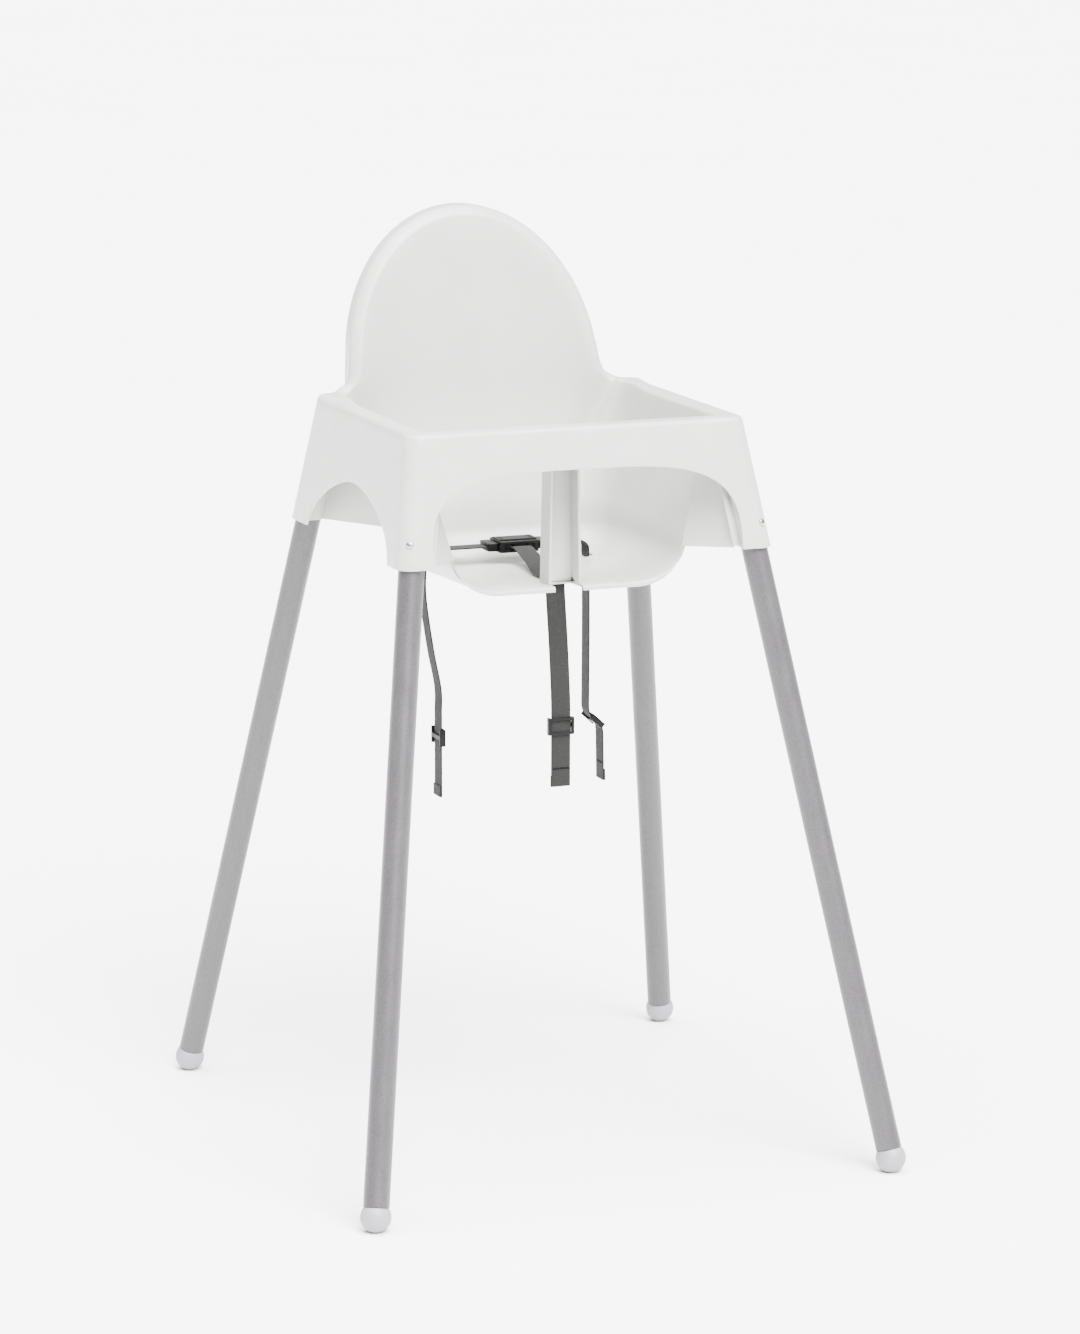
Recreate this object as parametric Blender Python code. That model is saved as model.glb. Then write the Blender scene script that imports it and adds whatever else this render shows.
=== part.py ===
"""Baby high chair: a moulded seat shell on four push-in steel legs, with a three-strap harness.

Metres, +Z up. The front of the chair faces -Y and "left" is -X. The origin is on the floor,
under the middle of the chair.
"""
import math

import bmesh
import bpy
from mathutils import Matrix, Vector

# --- legs: tube, splay and feet ---------------------------------------------------------
TUBE_RADIUS = 0.0125
TUBE_WALL = 0.0012
LEG_AXIS_X = 0.1755            # leg axis at the socket mouth, each side of the middle
LEG_AXIS_FRONT_Y = -0.149
LEG_AXIS_REAR_Y = 0.155
LEG_SPLAY_X = 0.152            # sideways run of a leg for each metre it drops
LEG_SPLAY_FRONT = 0.245
LEG_SPLAY_REAR = 0.235
FOOT_RADIUS = 0.01475
FOOT_CENTRE_HEIGHT = 0.0142    # a little under the radius, which leaves a small flat to stand on
FOOT_SHOULDER = 0.0085         # ball centre to the end of the tube, along the leg
FOOT_PLUG_LENGTH = 0.022
ROUND_SIDES = 24
# --- moulded seat shell -----------------------------------------------------------------
SOCKET_HEIGHT = 0.598          # lower end of the four corner sockets
RIM_RISE = 0.1237              # from the socket mouths to the top of the rim
RIM_HEIGHT = SOCKET_HEIGHT + RIM_RISE
SOCKET_DEPTH = 0.058           # how far a leg pushes into its socket
SHELL_WALL = 0.0028
RIM_WIDTH = 0.0222
RIM_ROUND = 0.003
CORNER_RADIUS = 0.0165         # outer radius of a corner post around its leg
SOCKET_RADIUS = 0.0155
INNER_CORNER = 0.010           # corner of the opening, seen from above
TUB_HALF_WIDTH = 0.1187        # inside of the bucket at socket height
TUB_FRONT_Y = -0.107
TUB_REAR_Y = 0.110
TUB_REAR_RADIUS = 0.036
PAN_HALF_WIDTH = 0.072         # flat part of the pan
PAN_DROP = 0.0352              # from the socket mouths down to the pan's front edge
PAN_HEIGHT = SOCKET_HEIGHT - PAN_DROP
PAN_SLOPE = math.tan(math.radians(2.0))
PAN_LIP_DROP = 0.0052          # the front edge of the bucket rolls forward and down
PAN_LIP_REACH = 0.003
RAIL_DEPTH = 0.0397            # height of the front rail
FRONT_ARCH_HALF_WIDTH = 0.158
FRONT_ARCH_POWER = 3.5
SIDE_ARCH_Y = -0.005           # middle of the side arches
SIDE_ARCH_HALF_WIDTH = 0.1205
SIDE_ARCH_HEIGHT = 0.0595
SIDE_ARCH_POWER = 1.7
MOUTH_DROP = 0.0004            # the socket mouths stand this far under the skirt
ARCH_FOOT_DROP = 0.0007        # the arches spring from just under the socket mouths
BACK_HALF_WIDTH = 0.1325       # the backrest is half an ellipse above BACK_BASE_HEIGHT
BACK_BASE_RISE = 0.0183         # from the rim to where the backrest's round edge starts
BACK_BASE_HEIGHT = RIM_HEIGHT + BACK_BASE_RISE
BACK_RISE = 0.160               # height of that round edge
BACK_HEIGHT = BACK_BASE_HEIGHT + BACK_RISE
BACK_BASE_Y = 0.149
BACK_LEAN = 0.30               # how far the backrest runs back for each metre it rises
BACK_HOLLOW = 0.010            # how far its middle is dished
LIP_DEPTH = 0.013              # rolled edge of the backrest
WEB_WALL = 0.0025
WEB_HEIGHT = 0.070             # of the walls that tie the bucket to the rear sockets
# --- post between the leg openings -------------------------------------------------------
POST_WIDTH = 0.0340            # where it meets the pan; it narrows to POST_TOP_WIDTH
POST_TOP_WIDTH = 0.0288
POST_FRONT_Y = -0.0982         # front edges of its flanges
POST_BACK_Y = -0.0744
POST_HEAD_HEIGHT = 0.019       # of the flanges that reach forward to the rail
POST_TOP_DROP = 0.016          # its top, below the rim
POST_WALL = 0.0026
# --- snap buttons and their springs --------------------------------------------------------
BUTTON_RADIUS = 0.0034
BUTTON_RISE = 0.0012           # how far a button stands out of its corner post
BUTTON_HEIGHT = 0.020          # above the socket mouth, along the leg
BUTTON_FLANGE_RADIUS = 0.0048
BUTTON_TURN = math.radians(30)   # a button faces this far out from straight ahead or behind
SPRING_WIDTH = 0.008
SPRING_WALL = 0.0006
# --- harness -------------------------------------------------------------------------------
WEBBING_WIDTH = 0.020
WEBBING_THICKNESS = 0.0016
STRAP_SLOT_LENGTH = 0.024
LAP_SLOT_X = 0.0860
LAP_SLOT_WIDTH = 0.0085
HARNESS_Y = 0.066
BELT_LIFT = 0.0120             # the stiff webbing holds the buckle this far above the pan
LAP_BEND = 0.008               # radius where a lap strap turns down into its slot
CROTCH_SLOT_Y = -0.0705
CROTCH_SLOT_WIDTH = 0.007
BUCKLE_X = 0.010
BUCKLE_LENGTH = 0.042
BUCKLE_DEPTH = 0.033
BUCKLE_HEIGHT = 0.011
BUCKLE_WALL = 0.0024
BUCKLE_WINDOW = 0.009
BUCKLE_WINDOW_INSET = 0.0105     # middle of a window from the end of the buckle
BUCKLE_SKIN = 0.0030            # material above and below a window
PLUG_BODY_LENGTH = 0.011
PLUG_DEPTH = 0.026
PLUG_HEIGHT = 0.008
PRONG_LENGTH = 0.016
PRONG_WIDTH = 0.0032
PRONG_HEAD = 0.0021
SLIDER_HEIGHT = 0.017
SLIDER_SIDE = 0.0025
SLIDER_HALF_DEPTH = 0.0030
CLEARANCE = 0.0003             # gap left between pieces that touch
UP = Vector((0, 0, 1))
SIDES = {"left": -1, "right": 1}
ROWS = {"front": -1, "rear": 1}

# --- colours: base colour, roughness, metallic -----------------------------------------------
FINISHES = {
    "shell_white": ((0.80, 0.80, 0.79), 0.32, 0.0),
    "leg_silver": ((0.36, 0.355, 0.36), 0.42, 0.35),
    "foot_white": ((0.70, 0.70, 0.72), 0.45, 0.0),
    "steel": ((0.55, 0.55, 0.55), 0.25, 1.0),
    "webbing_grey": ((0.135, 0.135, 0.13), 0.85, 0.0),
    "buckle_black": ((0.022, 0.021, 0.020), 0.38, 0.0),
}


# ---------------------------------------------------------------------------------------------
# general helpers
# ---------------------------------------------------------------------------------------------
def clear_scene():
    for thing in list(bpy.data.objects):
        bpy.data.objects.remove(thing, do_unlink=True)


def finish(name):
    material = bpy.data.materials.get(name)
    if material is None:
        colour, roughness, metallic = FINISHES[name]
        material = bpy.data.materials.new(name)
        material.use_nodes = True
        shader = material.node_tree.nodes["Principled BSDF"]
        shader.inputs["Base Color"].default_value = (*colour, 1.0)
        shader.inputs["Roughness"].default_value = roughness
        shader.inputs["Metallic"].default_value = metallic
        material.diffuse_color = (*colour, 1.0)
    return material


def add_object(name, bm, material, matrix=None):
    """Turn a bmesh into a named object, with its faces out and its round sides smooth."""
    bmesh.ops.recalc_face_normals(bm, faces=bm.faces)
    mesh = bpy.data.meshes.new(name)
    bm.to_mesh(mesh)
    bm.free()
    mesh.materials.append(finish(material))
    mesh.shade_smooth()
    mesh.set_sharp_from_angle(angle=math.radians(35))
    thing = bpy.data.objects.new(name, mesh)
    if matrix is not None:
        thing.matrix_world = matrix
    bpy.context.scene.collection.objects.link(thing)
    return thing


def as_tool(thing):
    thing.hide_render = True
    thing.display_type = "WIRE"
    return thing


def boolean(target, tool, operation, solver="EXACT"):
    modifier = target.modifiers.new(f"{operation.lower()}_{tool.name}", "BOOLEAN")
    modifier.operation = operation
    modifier.object = as_tool(tool)
    modifier.solver = solver


def block(low, high):
    """A box between two corners."""
    bm = bmesh.new()
    bmesh.ops.create_cube(bm, size=1.0)
    low = Vector(low)
    high = Vector(high)
    bmesh.ops.scale(bm, vec=high - low, verts=bm.verts)
    bmesh.ops.translate(bm, vec=(low + high) / 2, verts=bm.verts)
    return bm


def rounded_block(low, high, radius, segments=2):
    """A box whose upright edges are rounded."""
    bm = block(low, high)
    edges = []
    for edge in bm.edges:
        run = edge.verts[0].co - edge.verts[1].co
        if abs(run.z) > abs(run.x) + abs(run.y):
            edges.append(edge)
    bmesh.ops.bevel(
        bm, geom=edges, offset=radius, offset_type="OFFSET", affect="EDGES",
        segments=segments, profile=0.5, material=-1,
    )
    return bm


def turned(profile, sides=ROUND_SIDES):
    """Turn a closed (radius, height) profile round Z."""
    bm = bmesh.new()
    rings = []
    for radius, height in profile:
        if radius < 1e-6:
            rings.append([bm.verts.new((0, 0, height))])
            continue
        ring = []
        for index in range(sides):
            angle = 2 * math.pi * (index + 0.5) / sides
            ring.append(bm.verts.new((radius * math.cos(angle), radius * math.sin(angle), height)))
        rings.append(ring)
    closed = len(rings[0]) > 1
    pairs = list(zip(rings, rings[1:]))
    if closed:
        pairs.append((rings[-1], rings[0]))
    for lower, upper in pairs:
        for index in range(sides):
            after = (index + 1) % sides
            corners = [
                lower[index % len(lower)], lower[after % len(lower)],
                upper[after % len(upper)], upper[index % len(upper)],
            ]
            kept = list(dict.fromkeys(corners))
            if len(kept) > 2:
                bm.faces.new(kept)
    return bm


def cylinder(radius, low, high, sides=ROUND_SIDES):
    return turned([(0, low), (radius, low), (radius, high), (0, high)], sides)


def smooth_path(points, steps):
    """A Catmull-Rom curve through the points, with the given steps in each span."""
    points = [Vector(point) for point in points]
    padded = [2 * points[0] - points[1], *points, 2 * points[-1] - points[-2]]
    path = []
    for index in range(len(points) - 1):
        before, start, end, after = padded[index:index + 4]
        for step in range(steps):
            t = step / steps
            path.append(0.5 * (
                2 * start + (end - before) * t
                + (2 * before - 5 * start + 4 * end - after) * t ** 2
                + (3 * start - before - 3 * end + after) * t ** 3
            ))
    path.append(points[-1])
    return path


def ribbon(path, across, width, thickness):
    """A flat strap along a path, with its width as near to across as the path lets it be."""
    bm = bmesh.new()
    rings = []
    for index, point in enumerate(path):
        ahead = path[min(index + 1, len(path) - 1)] - path[max(index - 1, 0)]
        side = (across - ahead * across.dot(ahead) / ahead.length_squared).normalized()
        face = ahead.cross(side).normalized()
        corners = [(-1, -1), (1, -1), (1, 1), (-1, 1)]
        rings.append([
            bm.verts.new(point + side * (a * width / 2) + face * (b * thickness / 2))
            for a, b in corners
        ])
    for lower, upper in zip(rings, rings[1:]):
        for index in range(4):
            after = (index + 1) % 4
            bm.faces.new((lower[index], lower[after], upper[after], upper[index]))
    bm.faces.new(reversed(rings[0]))
    bm.faces.new(rings[-1])
    return bm


def cut_level(bm, height):
    """Cut away what is below a height, and close the cut."""
    cut = bmesh.ops.bisect_plane(
        bm, geom=[*bm.verts, *bm.edges, *bm.faces], plane_co=(0, 0, height),
        plane_no=(0, 0, -1), clear_outer=True)
    edges = [item for item in cut["geom_cut"] if isinstance(item, bmesh.types.BMEdge)]
    bmesh.ops.holes_fill(bm, edges=edges, sides=0)


def frame(origin, z_axis, x_hint):
    """A placing matrix with the given Z axis and X as near to x_hint as it can be."""
    z_axis = Vector(z_axis).normalized()
    x_axis = Vector(x_hint)
    x_axis = (x_axis - z_axis * x_axis.dot(z_axis)).normalized()
    y_axis = z_axis.cross(x_axis)
    matrix = Matrix((x_axis, y_axis, z_axis)).transposed().to_4x4()
    matrix.translation = Vector(origin)
    return matrix


# ---------------------------------------------------------------------------------------------
# leg geometry shared by legs, feet, sockets and buttons
# ---------------------------------------------------------------------------------------------
def leg_point(side, row, height):
    """The leg axis at a height; side is -1 left or 1 right, row is -1 front or 1 rear."""
    drop = SOCKET_HEIGHT - height
    x = side * (LEG_AXIS_X + LEG_SPLAY_X * drop)
    if row < 0:
        return Vector((x, LEG_AXIS_FRONT_Y - LEG_SPLAY_FRONT * drop, height))
    return Vector((x, LEG_AXIS_REAR_Y + LEG_SPLAY_REAR * drop, height))


def leg_frame(side, row):
    """Origin at the middle of the foot ball, +Z up the leg, +X out through the snap button."""
    foot = leg_point(side, row, FOOT_CENTRE_HEIGHT)
    axis = leg_point(side, row, RIM_HEIGHT) - foot
    return frame(foot, axis, (side * math.sin(BUTTON_TURN), row * math.cos(BUTTON_TURN), 0))


def along_leg(side, row, height):
    """How far up the leg from the foot ball the leg axis reaches a height."""
    return (leg_point(side, row, height) - leg_point(side, row, FOOT_CENTRE_HEIGHT)).length


def socket_mouth(side, row):
    return along_leg(side, row, SOCKET_HEIGHT)


def leg_top(side, row):
    return socket_mouth(side, row) + SOCKET_DEPTH


def button_place(side, row):
    return socket_mouth(side, row) + BUTTON_HEIGHT


# ---------------------------------------------------------------------------------------------
# seat shell
# ---------------------------------------------------------------------------------------------
FRONT_STEPS = 4
CORNER_STEPS = 3
WEB_STEPS = 2
SIDE_STEPS = 6
REAR_CORNER_STEPS = 4
ARCH_ANGLES = (8, 24, 40, 56, 73, 90)
COVE_ANGLES = (25, 50, 75)
PAN_SHARES = (0.35, 0.7)
PAN_EDGE_ROW = len(PAN_SHARES)
FLARE = ((0.45, 0.0035, 0.18), (0.85, 0.0065, 0.62))
WALL_LEVELS = (0.0, 0.34, 0.68, 0.84, 1.0)
CORNER_START = FRONT_STEPS
WEB_START = CORNER_START + CORNER_STEPS
SIDE_START = WEB_START + WEB_STEPS
REAR_START = SIDE_START + SIDE_STEPS
BACK_START = REAR_START + REAR_CORNER_STEPS
LAST = BACK_START + len(FLARE) + len(ARCH_ANGLES)


def mix(a, b, t):
    return a + (b - a) * t


def bend(start, corner, end, steps):
    """Points on a soft corner, from after start up to end."""
    points = []
    for step in range(1, steps + 1):
        t = step / steps
        points.append(start * (1 - t) ** 2 + corner * (2 * t * (1 - t)) + end * t ** 2)
    return points


def line(start, end, steps):
    return [start.lerp(end, step / steps) for step in range(1, steps + 1)]


def outer_loop(height, inset=0.0):
    """Half of the shell's outside at a height, from the front middle to the rear corner post.

    inset draws the loop in, for the rounding of the rim."""
    radius = CORNER_RADIUS - inset
    front = leg_point(1, -1, height)
    rear = leg_point(1, 1, height)
    start = Vector((0, front.y - radius, height))
    points = [start]
    points += line(start, Vector((front.x, front.y - radius, height)), FRONT_STEPS)
    for step in range(1, CORNER_STEPS + WEB_STEPS + 1):
        angle = math.radians(-90 + 90 * step / (CORNER_STEPS + WEB_STEPS))
        points.append(front + Vector((math.cos(angle), math.sin(angle), 0)) * radius)
    points += line(points[-1], Vector((rear.x + radius, rear.y, height)), SIDE_STEPS)
    for step in range(1, REAR_CORNER_STEPS + 1):
        angle = math.radians(90 * step / REAR_CORNER_STEPS)
        points.append(rear + Vector((math.cos(angle), math.sin(angle), 0)) * radius)
    return points


def back_edge(inward, setback):
    """The backrest's edge from the rear corner post to its apex.

    inward draws it in along the backrest, and setback moves it forward."""
    post = leg_point(1, 1, RIM_HEIGHT)
    foot = Vector((BACK_HALF_WIDTH, BACK_BASE_Y, BACK_BASE_HEIGHT))
    outer = Vector((post.x, post.y + CORNER_RADIUS, RIM_HEIGHT))
    points = []
    for across, back, rise in FLARE:
        x = mix(outer.x, foot.x, across) - inward * across
        z = mix(outer.z, foot.z, rise) + 0.003 * rise - inward * (1 - across)
        points.append(Vector((x, outer.y + back - setback, z)))
    for degrees in ARCH_ANGLES:
        angle = math.radians(degrees)
        z = BACK_BASE_HEIGHT + (BACK_HEIGHT - BACK_BASE_HEIGHT - inward) * math.sin(angle)
        x = (BACK_HALF_WIDTH - inward) * math.cos(angle)
        y = BACK_BASE_Y + BACK_LEAN * (z - BACK_BASE_HEIGHT) - setback
        points.append(Vector((x, y, z)))
    points[-1].x = 0.0
    return points


def inner_loop(height, inset=0.0):
    """Half of the opening at a height at or above the sockets, up to the rear corner."""
    t = (height - SOCKET_HEIGHT) / (RIM_HEIGHT - SOCKET_HEIGHT)
    rim_front = leg_point(1, -1, RIM_HEIGHT)
    rim_half = rim_front.x + CORNER_RADIUS - RIM_WIDTH
    rim_y = rim_front.y - CORNER_RADIUS + RIM_WIDTH
    half = mix(TUB_HALF_WIDTH, rim_half, t) + inset
    low = leg_point(1, -1, height) + Vector((-0.0125, -0.004, 0))
    high = Vector((rim_half, rim_y, height))
    socket_top = SOCKET_HEIGHT + SOCKET_DEPTH
    u = min(1.0, max(0.0, (height - socket_top) / (RIM_HEIGHT - socket_top)))
    corner = low.lerp(high, u) + Vector((inset, -inset, 0))
    tee = Vector((half, mix(TUB_FRONT_Y, rim_y + 0.024, t), height))
    front = Vector((0, rim_y - inset, height))
    along = (tee - corner).normalized()
    radius = min(INNER_CORNER, 0.45 * (tee - corner).length)
    start = corner + (front - corner).normalized() * radius
    points = [front]
    points += line(front, start, FRONT_STEPS)
    points += bend(start, corner, corner + along * radius, CORNER_STEPS)
    points += line(points[-1], tee, WEB_STEPS)
    rear = Vector((half, mix(TUB_REAR_Y - TUB_REAR_RADIUS, 0.082, t), height))
    points += line(tee, rear, SIDE_STEPS)
    return points


def bucket_loop(half, front, rear, radius, height):
    """Half of the bucket below the sockets, from its front edge to the rear middle."""
    points = [Vector((0, front, height))]
    points += line(points[0], Vector((half, front, height)), SIDE_START)
    points += line(points[-1], Vector((half, rear - radius, height)), SIDE_STEPS)
    middle = Vector((half - radius, rear - radius, height))
    for step in range(1, REAR_CORNER_STEPS + 1):
        angle = math.radians(90 * step / REAR_CORNER_STEPS)
        points.append(middle + Vector((math.cos(angle), math.sin(angle), 0)) * radius)
    steps = LAST - BACK_START
    points += line(points[-1], Vector((0, rear, height)), steps)
    return points


def slope(points):
    """Tilt a pan row down towards the rear."""
    for point in points:
        point.z -= PAN_SLOPE * (point.y - TUB_FRONT_Y)
    return points


def pan_rows():
    """Rows of the pan, from its middle out to where the bucket's side begins to rise."""
    rear = TUB_REAR_Y - (TUB_HALF_WIDTH - PAN_HALF_WIDTH)
    edge = bucket_loop(PAN_HALF_WIDTH, TUB_FRONT_Y, rear, 0.030, PAN_HEIGHT)
    middle = Vector((0, (TUB_FRONT_Y + rear) / 2, PAN_HEIGHT))
    rows = [[middle.lerp(point, share) for point in edge] for share in PAN_SHARES]
    rows.append(edge)
    return [slope(row) for row in rows]


def cove_rows():
    """Rows of the rounded edge between the pan and the bucket's walls."""
    run = TUB_HALF_WIDTH - PAN_HALF_WIDTH
    rise = SOCKET_HEIGHT + 0.001 - PAN_HEIGHT
    rows = []
    for degrees in COVE_ANGLES:
        angle = math.radians(degrees)
        out = run * math.sin(angle)
        up = rise * (1 - math.cos(angle))
        rear = TUB_REAR_Y - run + out
        radius = mix(0.030, TUB_REAR_RADIUS, math.sin(angle))
        loop = bucket_loop(PAN_HALF_WIDTH + out, TUB_FRONT_Y, rear, radius, PAN_HEIGHT)
        slope(loop)
        for point in loop:
            point.z += up
        rows.append(loop)
    return rows


def wall_rows():
    """Rows from socket height up to just under the rim and the backrest's edge."""
    base = bucket_loop(TUB_HALF_WIDTH, TUB_FRONT_Y, TUB_REAR_Y, TUB_REAR_RADIUS,
                       SOCKET_HEIGHT + 0.001)
    top = rim_rows()[0]
    rows = []
    for level in WALL_LEVELS[:-1]:
        height = mix(SOCKET_HEIGHT + 0.001, RIM_HEIGHT - RIM_ROUND, level)
        row = inner_loop(height)
        for index in range(REAR_START + 1, LAST + 1):
            start = base[index]
            end = top[index]
            point = start.lerp(end, level)
            share = min(1.0, (index - REAR_START) / REAR_CORNER_STEPS)
            point.y += BACK_HOLLOW * math.sin(math.pi * level) * share
            row.append(point)
        rows.append(row)
    return rows


def rear_corner(low, high, steps, lift):
    """Points that turn from the side of the opening up to the start of the flare."""
    knee = Vector((low.x, high.y, mix(low.z, high.z, 0.2)))
    points = bend(low, knee, high, steps)
    for point in points:
        point.z = min(point.z + lift, high.z)
    return points


def rim_rows():
    """Rows of the rim: inner rounding, flat top, outer rounding. At the back it is the lip."""
    half_round = RIM_ROUND * (1 - math.sqrt(0.5))
    steps = (
        (RIM_HEIGHT - RIM_ROUND, 0.0, 0.0105, 0.0100),
        (RIM_HEIGHT - half_round, half_round, 0.0060, 0.0095),
        (RIM_HEIGHT, RIM_ROUND, 0.0030, 0.0070),
    )
    rows = []
    for height, inset, inward, setback in steps:
        row = inner_loop(height, inset)
        edge = back_edge(inward, setback)
        corner = edge[0] + Vector((0.004, -0.012, -0.001))
        corner.z = max(corner.z, height)
        row += rear_corner(row[-1], corner, REAR_CORNER_STEPS, 0.0)
        row += edge
        rows.append(row)
    steps = (
        (RIM_HEIGHT, RIM_ROUND, 0.0006, 0.0035),
        (RIM_HEIGHT - half_round, half_round, 0.0, 0.0015),
        (RIM_HEIGHT - RIM_ROUND, 0.0, 0.0, 0.0),
    )
    for height, inset, inward, setback in steps:
        rows.append(outer_loop(height, inset) + back_edge(inward, setback))
    return rows


def skirt_rows():
    """Rows down the outside, from under the rim to the mouths of the sockets."""
    top = rim_rows()[-1]
    rows = []
    depth_shares = (1.0, 0.50, 0.22)
    for level in (0.33, 0.67, 1.0):
        height = mix(RIM_HEIGHT - RIM_ROUND, SOCKET_HEIGHT, level)
        row = outer_loop(height)
        full = row[BACK_START]
        for index in range(BACK_START + 1, LAST + 1):
            start = top[index]
            order = index - BACK_START
            end = start + Vector((0, LIP_DEPTH, 0))
            if order < len(depth_shares):
                drop = (RIM_HEIGHT - SOCKET_HEIGHT) * depth_shares[order]
                end = start + Vector((0.002, 0.004, -drop))
            row.append(start.lerp(end, level))
        row[BACK_START] = full
        rows.append(row)
    return rows


def shell_sheet():
    """The moulding's visible side as one open sheet, front and back and both halves."""
    bm = bmesh.new()
    everywhere = list(range(LAST + 1))
    from_web = list(range(CORNER_START, LAST + 1))
    from_side = list(range(SIDE_START, LAST + 1))
    rail_height = RIM_HEIGHT - RAIL_DEPTH
    rows = [(row, everywhere) for row in pan_rows()]
    rows += [(row, from_side) for row in cove_rows()]
    for row in wall_rows():
        use = everywhere if row[0].z > rail_height - 0.004 else from_web
        rows.append((row, use))
    for row in rim_rows() + skirt_rows():
        rows.append((row, everywhere))
    grid = []
    for row, use in rows:
        made = {}
        for index in use:
            point = row[index]
            made[index] = bm.verts.new(point)
            if index not in (0, LAST):
                made[-index] = bm.verts.new((-point.x, point.y, point.z))
        made[-LAST] = made[LAST]
        grid.append(made)
    for lower, upper in zip(grid, grid[1:]):
        for index in range(LAST):
            for here, after in ((index, index + 1), (-index - 1, -index)):
                corners = [row.get(key) for row, key in (
                    (lower, here), (lower, after), (upper, after), (upper, here))]
                if all(corners):
                    bm.faces.new(corners)
    ring = [grid[0][index] for index in range(LAST)]
    ring += [grid[0][-index] for index in range(LAST, 0, -1)]
    bm.faces.new(ring)
    return bm, grid


def front_lip(bm, grid):
    """Roll the bucket's front edge forward and down; the roll runs out up its sides."""
    rows = grid[PAN_EDGE_ROW + 1:PAN_EDGE_ROW + 1 + len(COVE_ANGLES)]
    shares = [math.cos(math.radians(degrees)) for degrees in COVE_ANGLES]
    tops = (grid[PAN_EDGE_ROW + 1 + len(COVE_ANGLES)][-SIDE_START],
            grid[PAN_EDGE_ROW + 1 + len(COVE_ANGLES)][SIDE_START])
    edge = [(row[-SIDE_START], share) for row, share in zip(reversed(rows), reversed(shares))]
    edge += [(grid[PAN_EDGE_ROW][index], 1.0) for index in range(-SIDE_START, SIDE_START + 1)]
    edge += [(row[SIDE_START], share) for row, share in zip(rows, shares)]
    last = [tops[0], *[vert for vert, share in edge], tops[1]]
    for reach, drop in ((0.7, 0.2), (1.0, 1.0)):
        row = [tops[0]]
        for vert, share in edge:
            shift = Vector((0, -PAN_LIP_REACH * reach * share ** 0.5, -PAN_LIP_DROP * drop * share))
            row.append(bm.verts.new(vert.co + shift))
        row.append(tops[1])
        for index in range(len(row) - 1):
            corners = (last[index], last[index + 1], row[index + 1], row[index])
            bm.faces.new(list(dict.fromkeys(corners)))
        last = row


def arch_tool(name, middle, half_width, height, power, low, high, along_x):
    """A cutter with an arched top about a middle, between two places along X or Y."""
    outline = [(half_width, -0.06)]
    steps = 20
    for step in range(steps + 1):
        angle = math.pi * step / steps
        across = half_width * math.copysign(abs(math.cos(angle)) ** (2 / power), math.cos(angle))
        up = height * math.sin(angle) ** (2 / power) if step not in (0, steps) else 0.0
        outline.append((across, up))
    outline.append((-half_width, -0.06))
    bm = bmesh.new()
    ends = []
    for depth in (low, high):
        ring = []
        for across, up in outline:
            place = (depth, middle + across) if along_x else (middle + across, depth)
            ring.append(bm.verts.new((*place, SOCKET_HEIGHT - ARCH_FOOT_DROP + up)))
        ends.append(ring)
    count = len(outline)
    for index in range(count):
        after = (index + 1) % count
        bm.faces.new((ends[0][index], ends[0][after], ends[1][after], ends[1][index]))
    bm.faces.new(ends[0])
    bm.faces.new(ends[1])
    return add_object(name, bm, "shell_white")


def lean_front_tool(tool):
    """Lean the front arch's cutter with the front of the chair."""
    for vert in tool.data.vertices:
        vert.co.y -= LEG_SPLAY_FRONT * (RIM_HEIGHT - vert.co.z)


def web_tool(side):
    """A thin wall from the bucket to a rear socket, from the socket mouth upwards."""
    bm = bmesh.new()
    rings = []
    for height in (SOCKET_HEIGHT, SOCKET_HEIGHT + WEB_HEIGHT):
        wall = inner_loop(height)[REAR_START]
        start = wall + Vector((SHELL_WALL / 2, -0.002, 0))
        end = leg_point(1, 1, height) + Vector((-0.0100, -0.0090, 0))
        across = (end - start).cross(UP).normalized() * (WEB_WALL / 2)
        rings.append([start - across, start + across, end + across, end - across])
    made = []
    for ring in rings:
        made.append([bm.verts.new((side * point.x, point.y, point.z)) for point in ring])
    for index in range(4):
        after = (index + 1) % 4
        bm.faces.new((made[0][index], made[0][after], made[1][after], made[1][index]))
    bm.faces.new(made[0])
    bm.faces.new(made[1])
    return add_object(f"tool_web_{side}", bm, "shell_white")


def post_block(wall, front, back, low, high):
    """A block as wide as the post, less a wall each side, that narrows upwards as it does."""
    bm = block((-0.5, front, low), (0.5, back, high))
    for vert in bm.verts:
        share = (vert.co.z - PAN_HEIGHT) / (RIM_HEIGHT - POST_TOP_DROP - PAN_HEIGHT)
        vert.co.x *= mix(POST_WIDTH, POST_TOP_WIDTH, share) - 2 * wall
    return bm


def post_tool():
    """The channel-shaped post between the two leg openings, with a head that meets the rail."""
    top = RIM_HEIGHT - POST_TOP_DROP
    bottom = PAN_HEIGHT - SHELL_WALL / 2
    rail_wall = leg_point(1, -1, RIM_HEIGHT).y - CORNER_RADIUS + RIM_WIDTH
    outer = add_object(
        "tool_post", post_block(0.0, POST_FRONT_Y, POST_BACK_Y, bottom, top), "shell_white")
    head = add_object(
        "tool_post_head",
        post_block(0.0005, rail_wall - SHELL_WALL / 2, POST_BACK_Y - POST_WALL / 2,
                   top - POST_HEAD_HEIGHT, top - 0.0005), "shell_white")
    hollow = add_object(
        "tool_post_hollow",
        post_block(POST_WALL, rail_wall - 0.02, POST_BACK_Y - POST_WALL, bottom - 0.02,
                   top - POST_WALL), "shell_white")
    boolean(outer, head, "UNION")
    boolean(outer, hollow, "DIFFERENCE")
    return outer


def post_notch_tool():
    """Opens the pan's lip under the post, so that the channel is open below."""
    bm = post_block(POST_WALL, TUB_FRONT_Y - 0.02, POST_BACK_Y - POST_WALL,
                    PAN_HEIGHT - 0.02, PAN_HEIGHT + 0.01)
    return add_object("tool_notch", bm, "shell_white")


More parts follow.
